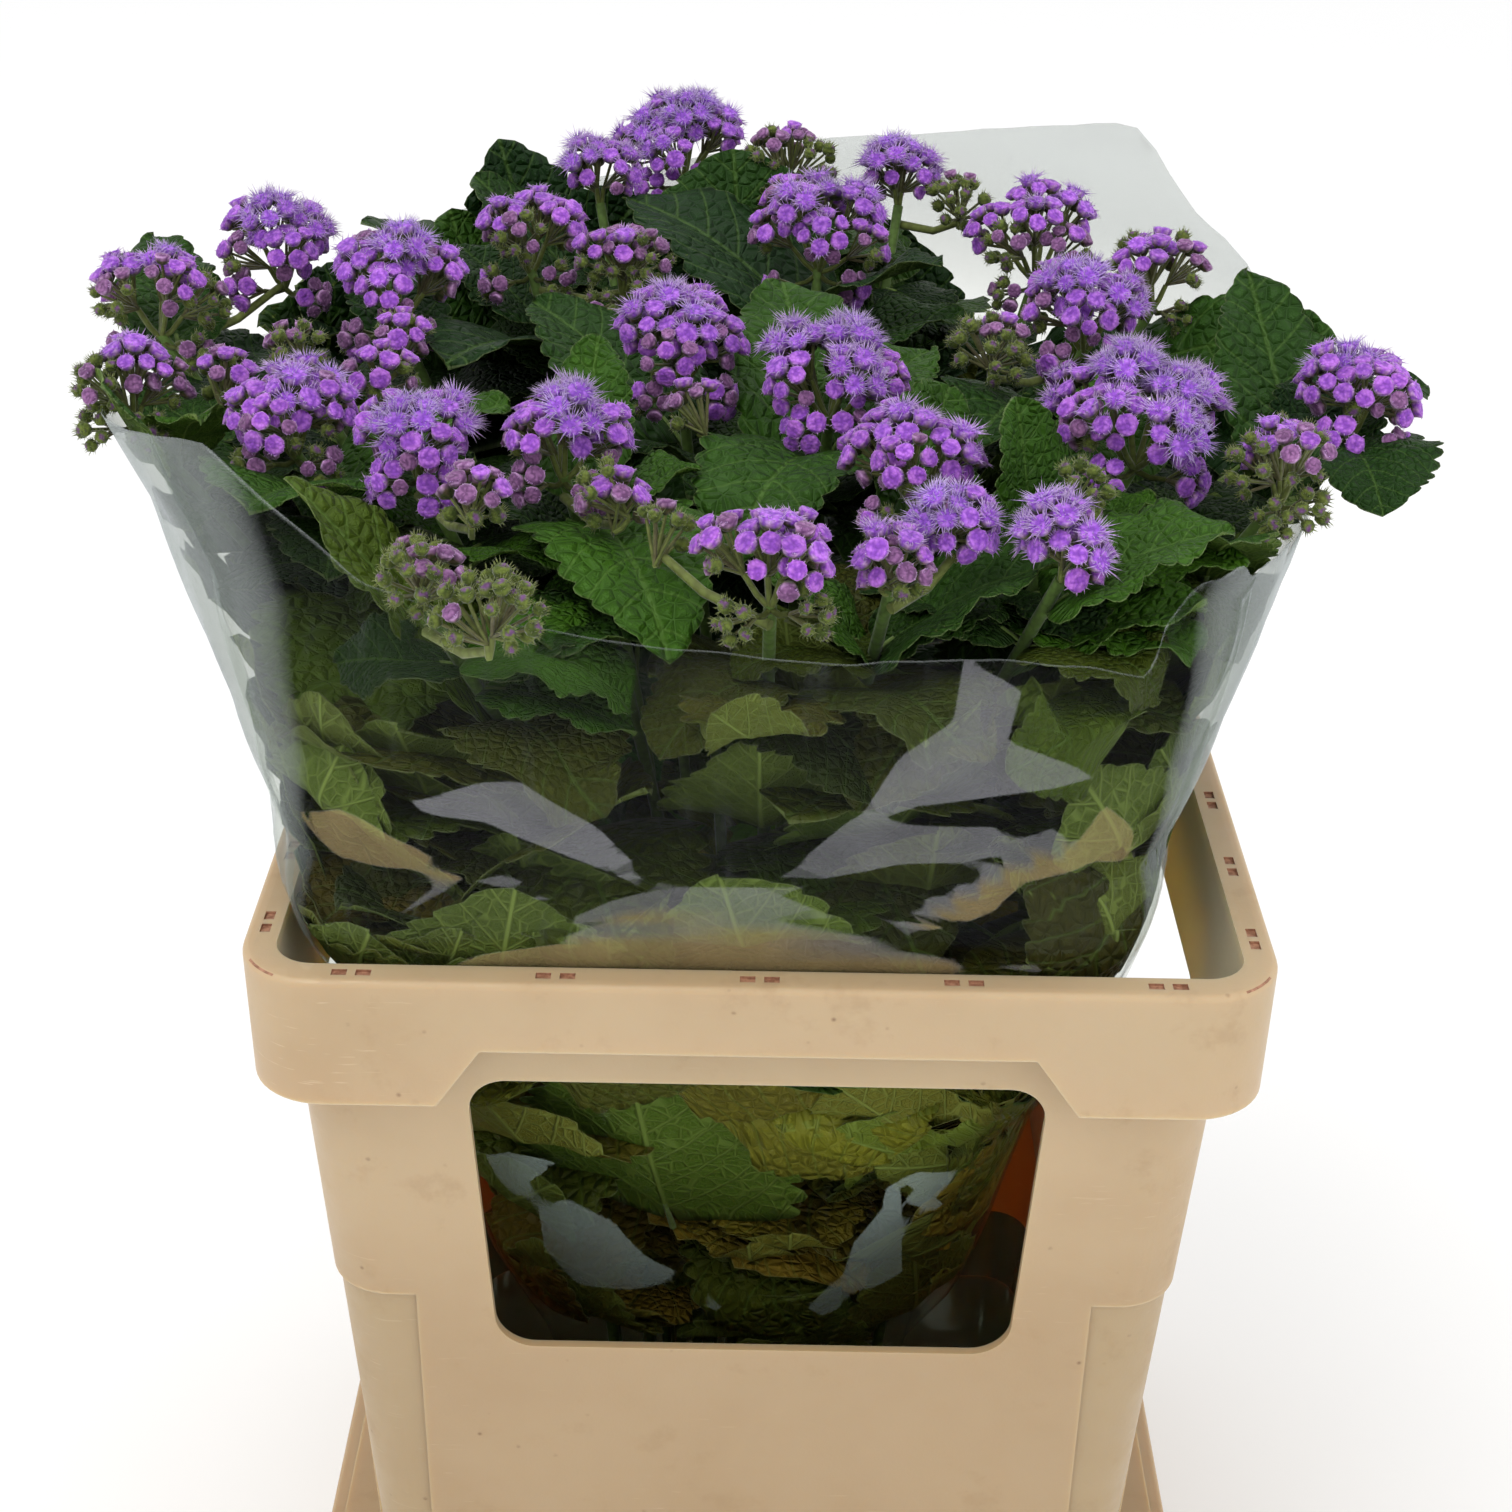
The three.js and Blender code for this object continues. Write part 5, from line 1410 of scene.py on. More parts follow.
def add_hairs(form, count, rng):
    """The short hairs all round a green bud."""
    turn = rng.uniform(0, 2 * math.pi, count)
    tilt = rng.uniform(0.2, 2.2, count)
    out = np.stack([np.sin(tilt) * np.cos(turn), np.sin(tilt) * np.sin(turn), np.cos(tilt)], -1)
    up = out * 0.8 + np.array([0, 0, 0.5]) + rng.normal(0, 0.15, (count, 3))
    add_threads(form, out * 2.2 + [0, 0, -0.5], up, rng.uniform(1.8, 2.9, count), 0.22, GREEN_BUD, HAIR)


def add_styles(form, kind, rng):
    """The violet threads on a head: the shorter and the more level, the nearer to its edge."""
    count, least, long = THREADS[kind]
    turn = rng.uniform(0, 2 * math.pi, count)
    reach = HEAD_REACH * np.sqrt(rng.uniform(least, 1, count))
    out = np.stack([np.cos(turn), np.sin(turn), np.zeros(count)], -1)
    rise = 0.3 + 1.5 * (1 - reach / HEAD_REACH) + rng.normal(0, 0.25, count)
    headings = out + np.stack([rng.normal(0, 0.3, count), rng.normal(0, 0.3, count), rise], -1)
    lengths = long * rng.uniform(0.6, 1.15, count) * (0.6 + 0.4 * reach / HEAD_REACH)
    roots = out * (reach * (0.8 if kind == "pale" else 1) - 0.5)[:, None] + np.array([0, 0, 0.7])
    add_threads(form, roots, headings, lengths, 0.24, THREAD, THREAD_TIP)


def head_form(kind, seed, plain=False):
    """One head of a kind; a plain one is for the side that the photo doesn't show."""
    rng = np.random.default_rng(seed)
    form = Form()
    if kind == "green":
        add_turned(form, GREEN_BALL, BUD_SIDES, rng)
        add_hairs(form, 10 if plain else 28, rng)
        return form.close()
    outline = PALE_DISC if kind == "pale" else DISC
    if plain:
        add_turned(form, outline[::2] + outline[-1:], PLAIN_SIDES, rng)
    else:
        add_turned(form, outline, HEAD_SIDES, rng)
    if not plain or kind == "open":
        add_styles(form, kind, rng)
    return form.close()


# Four forms of each kind, with a plain set of them.
FORMS = {(kind, plain): [head_form(kind, 10 * number + row, plain) for number in range(4)]
         for row, kind in enumerate(("green", "pale", "disc", "some", "open")) for plain in (False, True)}
PHOTO_SIDE = unit([0, -0.88, 0.47])  # towards the camera


def axis_frame(axis, spin):
    """Rows of a frame whose last row points along the axis."""
    axis = unit(axis)
    guide = np.array([1.0, 0, 0]) if abs(axis[2]) > 0.8 else np.array([0, 0, 1.0])
    first = unit(np.cross(guide, axis))
    second = np.cross(axis, first)
    cos, sin = math.cos(spin), math.sin(spin)
    return np.stack([first * cos + second * sin, second * cos - first * sin, axis])


def stamp(batch, form, turned_to, at, size, tone, slot=0):
    points = form.points * size @ turned_to + at
    tints = np.concatenate([form.tints[:, :3] * tone, form.tints[:, 3:]], 1)
    if form.quads is None:
        batch.add(points, form.tris, slot, tints)
        return
    start = batch.count
    batch.add(points, form.quads, slot, tints)
    batch.tris.append(form.tris + start)
    batch.tri_slots.append(np.full(len(form.tris), slot))


UMBEL, UMBEL_PITCH = 8.4, 9.8  # a small umbel's radius, and how many of them a cluster of a radius has
UMBEL_TILT = math.radians(104)  # of the lowest ones
DOME_FLATNESS = 0.56
HEAD_ROOM, HEAD_FOOT = 4.1, 3.4  # a head's radius, and how far under its middle its stalk ends
# The rings of heads in a small umbel: how many, and how far round from its axis.
UMBEL_RINGS = ((1, 0), (6, 58), (6, 106))
# A wide cluster has younger, small umbels low on the shown side: their directions in degrees.
LOW_FROM, LOW_UMBELS = 18.5, (-128, -52)
LOW_HEADS, LOW_UMBEL = 6, 5.6
STALK_GREEN, STALK_PURPLE = color_row(112, 124, 62), color_row(96, 62, 78)
# The kinds of head: up to which ripeness, and size.
KINDS = (("green", 0.28, 0.7), ("pale", 0.46, 0.74), ("disc", 0.74, 0.86), ("some", 0.86, 0.92),
         ("open", 9, 0.98))
SMALL_FORMS = {"green": 0.78, "pale": 0.84}  # kinds whose own form is smaller than the others'


def heading(tilt, turn):
    """A direction by its tilt from the upright and its turn round it."""
    return np.array([math.sin(tilt) * math.cos(turn), math.sin(tilt) * math.sin(turn), math.cos(tilt)])


def umbel_heads(centre, cluster, rng):
    """The heads of the small umbels in a cluster's dome, oldest on top: for each head its place, axis,
    ripeness and the foot of its umbel."""
    x, _, _, radius, ripeness = cluster
    umbels = max(int(round((radius / UMBEL_PITCH) ** 2)), 1)
    for number in range(umbels):
        tilt = math.acos(1 - (1 - math.cos(UMBEL_TILT)) * (number + 0.3) / umbels) + rng.normal(0, 0.06)
        way = heading(tilt, number * GOLDEN + radius * 7.3 + x)
        reach = max(radius - UMBEL - 1.6, 0) * rng.uniform(0.86, 1.12)
        middle = centre + way * [reach, reach, reach * DOME_FLATNESS] + [0, 0, rng.uniform(-2, 2)]
        axis = unit(way + [0, 0, 0.75] + rng.normal(0, 0.1, 3))
        local = axis_frame(axis, rng.uniform(0, 6.28))
        foot = middle - axis * UMBEL * 1.05 - [0, 0, 1]
        older = ripeness + 0.26 - 0.58 * (tilt / UMBEL_TILT) ** 1.4 + rng.normal(0, 0.1)
        for ring_number, (count, lean) in enumerate(UMBEL_RINGS):
            for k in range(count):
                low = math.radians(lean) + rng.normal(0, 0.07)
                out = heading(low, (k + 0.5 * ring_number) * 2 * math.pi / count) @ local
                at = middle + out * UMBEL * rng.uniform(0.92, 1.05)
                if ring_number == 2 and out[:2] @ way[:2] < 0.12:
                    continue
                ripe = older - 0.13 * ring_number ** 1.5 + rng.normal(0, 0.07)
                yield at, unit(out + axis * 0.6 + [0, 0, 0.25]), ripe, foot


def low_heads(centre, cluster, rng):
    """The heads of the young umbels low on a wide cluster, given as umbel_heads gives them."""
    *_, radius, ripeness = cluster
    if radius < LOW_FROM:
        return
    for direction in LOW_UMBELS:
        turn = math.radians(direction + rng.normal(0, 8))
        way = np.array([math.cos(turn), math.sin(turn), -0.9 + rng.normal(0, 0.1)])
        middle = centre + way * radius * 0.66
        local = axis_frame(unit(way + [0, 0, 1.1]), rng.uniform(0, 6.28))
        for k in range(LOW_HEADS):
            out = heading(math.radians(66) if k else 0, k * 1.257) @ local
            ripe = ripeness - 0.42 + rng.normal(0, 0.1)
            yield middle + out * LOW_UMBEL, unit(out + local[2]), ripe, middle - local[2] * 8


def settle_heads(places, reaches):
    """Pushes touching heads apart, and leaves out those that still sit in another."""
    start = places.copy()
    for _ in range(14):
        apart = places[:, None] - places[None]
        distance = np.linalg.norm(apart, axis=-1) + np.eye(len(places)) * 99
        over = np.maximum((reaches[:, None] + reaches[None]) * 0.97 - distance, 0)
        places = places + np.sum(apart / distance[..., None] * over[..., None] * 0.3, axis=1)
        places = places + (start - places) * 0.08
    kept = []
    for i, place_at in enumerate(places):
        near = [np.linalg.norm(place_at - places[j]) < 0.74 * (reaches[i] + reaches[j]) for j in kept]
        if not any(near):
            kept.append(i)
    return places, kept


def add_cluster(batch, cluster, rng):
    """One domed cluster: small umbels of heads on their own stalks."""
    x, y, rise, radius, *_ = cluster
    centre = np.array([x, y, COLLAR_TOP + rise])
    rows = [*umbel_heads(centre, cluster, rng), *low_heads(centre, cluster, rng)]
    crotch = centre - [0, 0, radius * CORE_SHARE * CORE_FLATNESS + 1]
    kinds = [next(row for row in KINDS if ripe < row[1]) for _, _, ripe, _ in rows]
    sizes = np.array([row[2] for row in kinds]) * rng.uniform(0.82, 1.1, len(rows))
    places, kept = settle_heads(np.array([row[0] for row in rows]), HEAD_ROOM * sizes)
    feet = []
    for i in kept:
        _, axis, ripe, foot = rows[i]
        kind, at = kinds[i][0], places[i]
        axis = unit(axis + rng.normal(0, 0.1, 3))
        size = sizes[i] / SMALL_FORMS.get(kind, 1)
        form = FORMS[kind, bool(axis @ PHOTO_SIDE < -0.2)][rng.integers(4)]
        bluish = np.clip((ripe - 0.5) * 1.6, 0, 1)
        hue = np.array([1.02 - 0.06 * bluish, 0.92 + 0.1 * bluish, 0.92 + 0.1 * bluish])
        tone = rng.uniform(0.84, 1.1) * hue
        stamp(batch, form, axis_frame(axis, rng.uniform(0, 6.28)), at, size, tone if kind != "green" else 1)
        green = STALK_GREEN + (STALK_PURPLE - STALK_GREEN) * rng.uniform(0, 0.5)
        batch.add_tube([foot, at - axis * HEAD_FOOT * size], (0.7, 0.55), 3, 1, green)
        if not any(foot is known for known in feet):
            feet.append(foot)
            route = [crotch - [0, 0, 2], (crotch + foot) / 2 - [0, 0, 2], foot]
            batch.add_tube(route, (1.1, 1.0, 0.9), 5, 1, STALK_GREEN)


def make_blossoms():
    """Each stem's clusters as one piece; the lesser ones branch off under the main one."""
    floret = soft_material("floret", 0.8, 0.35, 0.22, 900.0, 0.0005)
    for index, (main, *others) in enumerate(STEMS):
        rng = np.random.default_rng(100 + index)
        batch = Batch()
        add_cluster(batch, main, rng)
        for cluster in others:
            add_cluster(batch, cluster, rng)
            low = np.array([main[0], main[1], underside(main) - 8])
            top = np.array([cluster[0], cluster[1], underside(cluster) - 1])
            bend = low + (top - low) * 0.6 + [0, 0, -3]
            batch.add_tube([low, bend, top], (1.7, 1.5, 1.3), 7, 1, STALK_GREEN)
        piece = batch.build(f"blossom_{index + 1:02d}", [floret, STEM_GREEN])
        stand_for(piece, f"bloom_{index + 1:02d}")


make_blossoms()


# ---------------------------------------------------------------- film sleeve

# Glare: painted reflections of the sky and the rim, as milky patches where the film lies flat enough to
# mirror them. A strength, a colour, and the corners of each patch across the front and up, in mm.
SKY_REFLECTION_GREY, WINDOW_REFLECTION_GREY, RIM_REFLECTION_TAN = (200, 200, 208), (204, 224, 220), (208, 184, 134)
PAINTED_GLARE = [
    # left arch
    (0.62, SKY_REFLECTION_GREY, [(-99, 490), (-78, 500), (-67, 502), (-46, 489), (-31, 473), (-31, 470), (-76, 488),
                      (-92, 488)]),
    # left painted reflection of the rim
    (0.8, RIM_REFLECTION_TAN, [(-134, 476), (-121, 482), (-111, 481), (-97, 477), (-81, 468), (-100, 470), (-122, 467)]),
    # left streak
    (0.5, SKY_REFLECTION_GREY, [(-81, 470), (-72, 472), (-52, 460)]),
    # left sliver
    (0.45, SKY_REFLECTION_GREY, [(-105, 454), (-93, 465), (-87, 466)]),
    # middle arch
    (0.5, SKY_REFLECTION_GREY, [(-52, 460), (-30, 469), (-5, 473), (35, 453), (36, 448), (4, 457), (-40, 460),
                     (-48, 452), (-57, 449)]),
    # middle painted reflection of the rim
    (0.85, RIM_REFLECTION_TAN, [(-47, 452), (-38, 459), (-22, 458), (4, 456), (35, 447), (28, 446), (-20, 454)]),
    # low painted reflection of the rim
    (0.95, RIM_REFLECTION_TAN, [(-88, 442), (-58, 448), (-36, 452), (-18, 453), (54, 444), (62, 438), (-86, 437)]),
    # right tower
    (0.62, SKY_REFLECTION_GREY, [(53, 547), (57, 539), (69, 531), (66, 516), (95, 500), (42, 499), (30, 494), (26, 495),
                      (37, 514), (51, 524)]),
    # right wing
    (0.55, SKY_REFLECTION_GREY, [(24, 495), (65, 489), (69, 485), (68, 480), (39, 479), (21, 475), (5, 468), (10, 479)]),
    # right hook
    (0.5, SKY_REFLECTION_GREY, [(69, 484), (81, 487), (87, 481), (75, 478), (49, 463), (36, 448), (35, 453), (45, 466),
                     (67, 478)]),
    # right painted reflection of the rim
    (0.8, RIM_REFLECTION_TAN, [(87, 481), (96, 490), (105, 481), (109, 469), (94, 474), (74, 471), (66, 462), (45, 455),
                    (49, 463), (62, 471), (75, 478)]),
    # right foot
    (0.4, SKY_REFLECTION_GREY, [(40, 448), (80, 444), (81, 440)]),
    # window, upper left
    (1.15, WINDOW_REFLECTION_GREY, [(-91, 323), (-81, 332), (-65, 332), (-83, 306)]),
    # window, left sweep
    (1.15, WINDOW_REFLECTION_GREY, [(-80, 305), (-63, 314), (-60, 305), (-56, 305), (-41, 314), (-45, 292), (-37, 290),
                      (-32, 280), (-22, 275), (-4, 248), (-19, 260), (-37, 264), (-60, 260), (-71, 270),
                      (-73, 287), (-71, 302)]),
    # window, small
    (1.15, WINDOW_REFLECTION_GREY, [(9, 270), (17, 273), (25, 268), (35, 245), (22, 253)]),
    # window, right sweep
    (1.15, WINDOW_REFLECTION_GREY, [(24, 287), (37, 298), (42, 313), (43, 325), (53, 332), (66, 329), (64, 323), (47, 326),
                      (52, 263), (25, 272), (40, 281)]),
    # window, right tip
    (1.15, WINDOW_REFLECTION_GREY, [(49, 321), (57, 326), (65, 317), (59, 317), (64, 307), (50, 315)]),
]
# Sharp folds in the front of the film: both ends across and up, and how far the fold stands out.
FOLDS = [
    [(-134, 468), (-118, 438), 1.4], [(-143, 475), (-134, 468), 1.6], [(24, 549), (27, 467), 1.2],
    [(-31, 473), (5, 468), 1.6], [(-56, 519), (-70, 541), 0.9], [(100, 523), (84, 463), 1.3],
    [(55, 480), (54, 445), 0.8], [(69, 530), (66, 514), 1.0], [(-99, 490), (-31, 471), 1.5],
    [(26, 495), (95, 500), 1.5], [(-81, 470), (-52, 460), 1.2], [(36, 450), (87, 481), 1.3],
    [(-80, 305), (-4, 248), 2.2], [(24, 287), (66, 329), 2.0], [(35, 245), (9, 271), 1.6],
]
FILM_THIN = 0.24
FILM_DEPTH = 0.35  # how far inside its outline the film lies
SEAM_HALF = 0.16  # half of a seam's two layers
SHEET_COLUMNS, SHEET_ROWS = (150, 80), (12, 48)  # in front and behind, and low and high
FRONT_REACH, BACK_REACH = 9, 14  # how wide a fold is
TORN_AT = 316  # where the mouth's edge is ragged, in degrees
VEILS = ((0.34, 204), (0.42, 334))  # milky sides of the front, partly a painted reflection of the film seen at a slant: how strong, and where in degrees


def edge_distance(points, outline, closed=True):
    """Signed distance of flat points to an outline: positive inside."""
    outline = np.asarray(outline, float)
    ends = np.roll(outline, -1, axis=0) if closed else outline[1:]
    starts = outline if closed else outline[:-1]
    best = np.full(len(points), 1e9)
    inside = np.zeros(len(points), bool)
    for a, b in zip(starts, ends):
        along = b - a
        share = np.clip((points - a) @ along / max(along @ along, 1e-9), 0, 1)
        best = np.minimum(best, np.linalg.norm(points - a - share[:, None] * along, axis=1))
        crosses = (a[1] > points[:, 1]) != (b[1] > points[:, 1])
        rise = (b[1] - a[1]) or 1e-9
        inside ^= crosses & (points[:, 0] < a[0] + (points[:, 1] - a[1]) * along[0] / rise)
    return np.where(inside & closed, best, -best)


def side_glare(rng):
    """Painted reflection patches and folds for the sides and the back, in mm round the sleeve and up."""
    patches, folds = [], []
    for _ in range(26):
        at = np.array([rng.uniform(-330, 330), rng.uniform(300, 545)])
        lean, long, wide = rng.uniform(-0.9, 0.9), rng.uniform(22, 60), rng.uniform(4, 15)
        way = np.array([math.cos(lean), math.sin(lean)])
        over = np.array([-way[1], way[0]])
        bow = rng.uniform(-0.5, 0.5) * wide
        outline = [at + way * long / 2 * u + over * (reach * (1 - u * u) + bow * (1 - u * u))
                   for reach, places in ((wide / 2, range(6)), (-0.3 * wide, range(4, 0, -1)))
                   for u in np.linspace(-1, 1, 6)[places]]
        patches.append((rng.uniform(0.3, 0.55), SKY_REFLECTION_GREY, outline))
        folds.append([tuple(at - way * long * 0.6), tuple(at + way * long * 0.6), rng.uniform(0.8, 1.8)])
    return patches, folds


def film_marks(flat, patches, folds, reach):
    """For each flat point: distance inside the nearest painted reflection patch, its strength and colour, and
    how far the folds push the film out."""
    best = np.full(len(flat), -1e9)
    strength, tint = np.zeros(len(flat)), np.zeros((len(flat), 4))
    for power, color, outline in patches:
        distance = edge_distance(flat, outline)
        near = distance > best
        best = np.where(near, distance, best)
        strength = np.where(near, power, strength)
        tint[near, :3] = rgb(*color)[:3]
    push = np.zeros(len(flat))
    for start, end, height in folds:
        distance = -edge_distance(flat, [start, end], closed=False)
        push = np.maximum(push, height * np.clip(1 - distance / reach, 0, 1))
    return best, strength, tint, push


def all_marks(outer, turns, z, rng):
    """The film's marks: those of the photo in front, and others at the sides and behind."""
    across = [outer[..., 0], np.mod(turns + math.pi / 2, 2 * math.pi) * 150 - math.pi * 150]
    in_front, behind = (np.stack([row, z], -1).reshape(-1, 2) for row in across)
    is_front = ((outer[..., 1] < -60) & (np.abs(outer[..., 0]) < 140)).ravel()
    patches, folds = side_glare(rng)
    front_marks = film_marks(in_front, PAINTED_GLARE, FOLDS, FRONT_REACH)
    other_marks = film_marks(behind, patches, folds, BACK_REACH)
    return [np.where(is_front if one.ndim == 1 else is_front[:, None], one, other)
            for one, other in zip(front_marks, other_marks)]


def film_material():
    """Clear film: it mirrors at a slant; its glare patches are painted reflections shown as milky haze, and
    it hazes at its edge and in its veils, which at the front's sides are partly painted reflection.
    """
    s = Shader("clear_film")
    tint = s.attribute("tint").outputs["Color"]
    inside, strength, edge = s.split(s.attribute("spot").outputs["Vector"])
    at = s.place()
    cloud = s.noise(at, 42, 3, 0.55)
    fine = s.noise(s.stretched(at, (60.0, 60.0, 9.0)), 3.0, 3, 0.6)
    # painted reflection: the glare patches' milky haze, in each patch's colour
    patch = s.times(s.span(inside, -0.3, 0.3), s.times(strength, 0.18))
    patch = s.times(patch, s.span(cloud, 0.3, 0.7, 0.8, 1.1))
    bead = s.times(s.span(edge, 0.1, 0.7, 1, 0), 0.09)
    base = s.plus(s.attribute("tint").outputs["Alpha"], s.span(fine, 0.55, 0.85, 0, 0.02))
    veil = s.most(s.most(patch, bead), base, True)
    normal = s.bump(s.plus(cloud, s.times(fine, 0.4)), 0.0012, 0.35)
    haze_color = s.mix(s.span(inside, -0.35, 0.35), rgb(196, 203, 203), tint)
    haze = s.node("ShaderNodeBsdfDiffuse", {"Color": haze_color})
    shine = s.node("ShaderNodeBsdfGlossy", {"Color": rgb(236, 238, 244), "Roughness": 0.07, "Normal": normal})
    clear = s.node("ShaderNodeBsdfTransparent", {"Color": rgb(246, 247, 245)})
    facing = s.node("ShaderNodeLayerWeight", {"Blend": 0.25, "Normal": normal}).outputs["Facing"]
    gloss = s.times(s.span(facing, 0.45, 0.98, 0.004, 0.4), s.span(edge, 0.0, 1.0, 0.1, 1))
    return s.finish(s.blend(veil, s.blend(gloss, clear, shine), haze))


def film_grid():
    """The turns and heights of the film's points, and the turns in degrees; the front's grid is finer."""
    front, behind = SHEET_COLUMNS
    turns = np.concatenate([np.linspace(math.pi * 1.06, math.pi * 1.94, front, endpoint=False),
                            np.linspace(math.pi * 1.94, math.pi * 3.06, behind, endpoint=False)])
    turns = np.mod(turns, 2 * math.pi)
    low_rows, high_rows = SHEET_ROWS
    shares = np.concatenate([np.linspace(0, 0.5, low_rows, endpoint=False), np.linspace(0.5, 1, high_rows)])
    mouth_at = film_point(turns, np.full(len(turns), 550.0), 0)
    angle = np.degrees(np.arctan2(mouth_at[:, 1], mouth_at[:, 0]))
    tt, ss = np.meshgrid(turns, shares, indexing="xy")
    foot = FILM_SECTIONS[0][0]
    z = foot + (film_edge(angle)[None, :] - foot) * ss
    ragged = 2.2 * np.sin(9 * turns) + 1.4 * np.sin(23 * turns + 1) + 0.8 * np.sin(57 * turns)
    torn = np.where(np.abs(np.mod(angle, 360) - TORN_AT) < 12, 1.5, 0.2)
    return tt, z + (torn * ragged)[None, :] * np.clip(ss * 8 - 7, 0, 1), angle


def film_veil(outer, z, angle):
    """How milky the film is: behind near its mouth, and at the sides of the front over the rim, where the
    milkiness is partly a painted reflection of the film seen at a slant.
    """
    back = np.clip(outer[..., 1] / 60, 0, 1) * np.clip((z - 520) / 40, 0, 1)
    apart = [np.abs(np.mod(angle, 360)[None, :] - middle) for _, middle in VEILS]
    left, right = (power * np.clip(1 - away / 24, 0, 1) ** 0.5 for (power, _), away in zip(VEILS, apart))
    sides = (left + right) * np.clip((z - COLLAR_TOP) / 40, 0, 1)
    return np.maximum(0.25 * back, sides).ravel()


def film_give(turns, z, push):
    """How far the film stands out from its outline: folded and crumpled, but smooth at the rim."""
    crumple = (0.9 * np.sin(turns * 14 + z * 0.021) + 0.6 * np.sin(turns * 31 - z * 0.05)
               + 0.5 * np.sin(z * 0.11 + turns * 6))
    room = np.clip(np.abs(z - COLLAR_TOP) / 22, 0, 1) * np.clip((z - 150) / 60, 0.1, 1)
    give = (push.reshape(z.shape) * 0.8 - 0.7 + 0.45 * crumple) * room
    return np.where(z < COLLAR_TOP + 12, np.minimum(give, 0.4), give)


def make_film():
    """The sleeve: a thin crumpled sheet all round, with its two seams."""
    rng = np.random.default_rng(11)
    turns, z, angle = film_grid()
    outer = film_point(turns, z, 0.2)
    inside, strength, tint, push = all_marks(outer, turns, z, rng)
    tint[:, 3] = film_veil(outer, z, angle)
    depth = FILM_DEPTH - film_give(turns, z, push)
    sheets = [film_point(turns, z, inset).reshape(-1, 3) for inset in (depth, depth + FILM_THIN)]
    spots = np.stack([inside, strength, (z[-1:] - z).ravel()], -1)
    batch = Batch()
    batch.add(np.concatenate(sheets), sheet_faces(*z.shape, closed=True), 0,
              np.concatenate([tint, tint]), np.concatenate([spots, spots]))
    for side in SEAM_SIDES:
        add_seam(batch, side * 2 * math.pi / FILM_SIDES, rng)
    stand_for(batch.build("film_sleeve", [film_material()]), "sleeve")


def add_seam(batch, turn, rng):
    """A side seam's flap: the film's two layers pressed flat together, wavy along its free edge."""
    rows, columns = 70, 9
    low, top = SEAM_FLAPS[0][0], film_edge(math.degrees(turn))
    z = np.linspace(low, top, rows)[:, None] * np.ones(columns)
    share = np.linspace(0, 1, columns)[None, :] * np.ones((rows, 1))
    reach = np.interp(z, *zip(*SEAM_FLAPS))
    root = film_point(np.full(z.shape, turn), z, FILM_DEPTH)
    outward = unit(root * [1, 1, 0])
    over = np.stack([-outward[..., 1], outward[..., 0], np.zeros(z.shape)], -1)
    if over[0, 0, 0] * root[0, 0, 0] > 0:
        over = -over
    outward, over = unit(over + 0.22 * outward), outward
    phase = rng.uniform(0, 6)
    wave = share ** 1.5 * (1.4 * np.sin(z * 0.055 + phase) + 0.7 * np.sin(z * 0.16 + phase * 2))
    wave = wave * np.clip(np.abs(z - COLLAR_TOP) / 20, 0, 1)
    points = root + outward * (reach * share)[..., None] + over * wave[..., None]
    tips = np.where(share == 1, 0.6 * np.sin(z * 0.4), 0)
    points[..., 2] += tips + share * np.where(z == top, -3, 0)
    sheets = [(points + over * half).reshape(-1, 3) for half in (-SEAM_HALF, SEAM_HALF)]
    weld = np.minimum(share.ravel(), 1 - share.ravel()) * reach.ravel()
    spots = np.stack([np.full(len(weld), 2.0), np.full(len(weld), 0.36), weld + 0.25], -1)
    batch.add(np.concatenate(sheets), sheet_faces(rows, columns), 0, (*rgb(188, 200, 196)[:3], 0),
              np.concatenate([spots, spots]))


make_film()


# ---------------------------------------------------------------- water


def water_material():
    """Clear water, a little murky with plant matter."""
    s = Shader("water")
    at = s.place()
    ripple = s.noise(at, 16, 2, 0.4)
    murk = s.noise(at, 30, 4, 0.6)
    color = s.mix(s.span(murk, 0.3, 0.7), rgb(226, 238, 228), rgb(200, 216, 188))
    return s.finish(s.principled(color, 0.03, s.bump(ripple, 0.002, 0.4), IOR=1.33, Transmission_Weight=0.92))


def make_water():
    """The water, with a hole for each stem."""
    skirt_z = BUCKET_TOP - BUCKET_SKIRT
    foot, top = levels = (BUCKET_FLOOR + SEAT, WATER_TOP)
    body = loft([ring(wall_inset(z, skirt_z) + WALL + SEAT, WALL_RADIUS - WALL, z) for z in levels])
    holes = Batch()
    for at in FEET:
        holes.add_tube([(*at, foot - 1), (*at, top + 1)], STEM_RADIUS + WATER_HOLE, 12, 0, (0, 0, 0, 0))
    body = combine(body, holes.build("holes", []))
    body.name = body.data.name = "water_fill"
    body.data.materials.clear()
    body.data.materials.append(water_material())
    stand_for(body, "water")


make_water()


# ---------------------------------------------------------------- stage, camera, lights


FLOOR_REACH = 14  # in metres, like the lights' places and sizes
# The photo's camera: focal length on a frame 36 mm wide, place in mm, and turns in radians.
FRAME_WIDTH, LENS = 36, 60.71
CAMERA_PLACE = (-1.7, -803.9, 836.0)
YAW, PITCH, ROLL = -0.0008, 0.4888, 0.0174


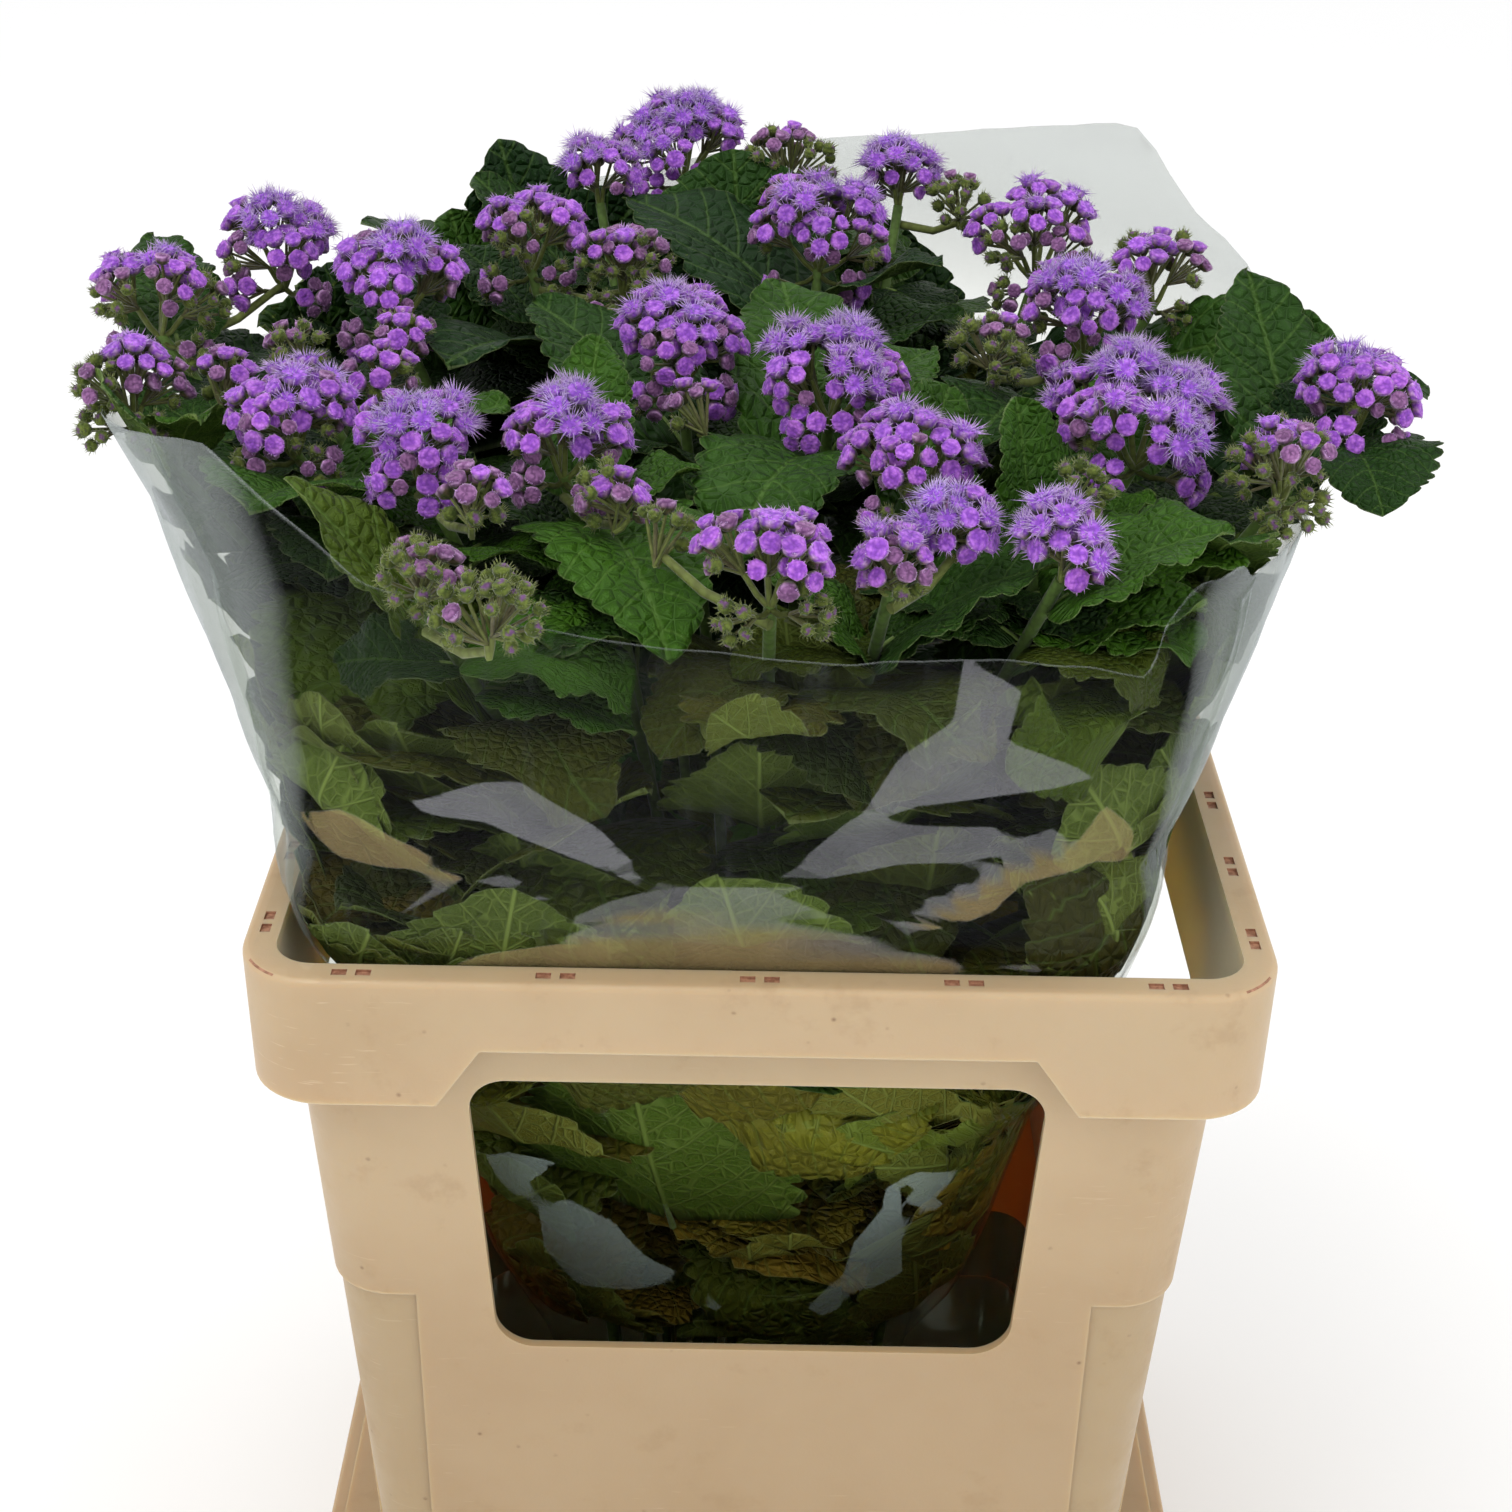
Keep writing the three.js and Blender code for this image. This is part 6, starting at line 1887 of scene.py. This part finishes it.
def make_stage():
    made = bmesh.new()
    corners = [(-1, -1), (1, -1), (1, 1), (-1, 1)]
    made.faces.new([made.verts.new((x * FLOOR_REACH, y * FLOOR_REACH, 0)) for x, y in corners])
    floor = from_bmesh(made)
    floor.name = "floor"
    s = Shader("floor")
    floor.data.materials.append(s.finish(s.principled(rgb(250, 250, 250), 0.9)))


def make_camera():
    data = bpy.data.cameras.new("camera")
    camera = bpy.data.objects.new("camera", data)
    bpy.context.scene.collection.objects.link(camera)
    data.sensor_width, data.lens = FRAME_WIDTH, LENS
    data.clip_start, data.clip_end = 0.05, 60
    forward = Vector((math.sin(YAW) * math.cos(PITCH), math.cos(YAW) * math.cos(PITCH), -math.sin(PITCH)))
    level = Vector((math.cos(YAW), -math.sin(YAW), 0))
    upright = level.cross(forward)
    right = level * math.cos(ROLL) + upright * math.sin(ROLL)
    up = upright * math.cos(ROLL) - level * math.sin(ROLL)
    turn = Matrix((right, up, -forward)).transposed()
    camera.matrix_world = Matrix.Translation(Vector(CAMERA_PLACE) * MM) @ turn.to_4x4()
    bpy.context.scene.camera = camera


def area_light(name, place_at, aim, size, power):
    data = bpy.data.lights.new(name, "AREA")
    data.shape, data.size, data.size_y = "RECTANGLE", size, size
    data.energy = power
    lamp = bpy.data.objects.new(name, data)
    bpy.context.scene.collection.objects.link(lamp)
    lamp.location = place_at
    lamp.rotation_mode = "QUATERNION"
    lamp.rotation_quaternion = (Vector(aim) - Vector(place_at)).to_track_quat("-Z", "Y")


def make_light():
    """Even white light all round, and two soft lamps from the front."""
    world = bpy.data.worlds.new("world")
    world.use_nodes = True
    background = world.node_tree.nodes["Background"]
    background.inputs[0].default_value = (1, 1, 1, 1)
    background.inputs[1].default_value = 1.0
    bpy.context.scene.world = world
    area_light("key", (-0.9, -0.9, 2.6), (0, 0, 0.5), 1.6, 22)
    area_light("fill", (1.6, -1.4, 1.6), (0, 0, 0.4), 1.5, 8)


make_stage()
make_camera()
make_light()
scene = bpy.context.scene
scene.view_settings.view_transform = "Standard"
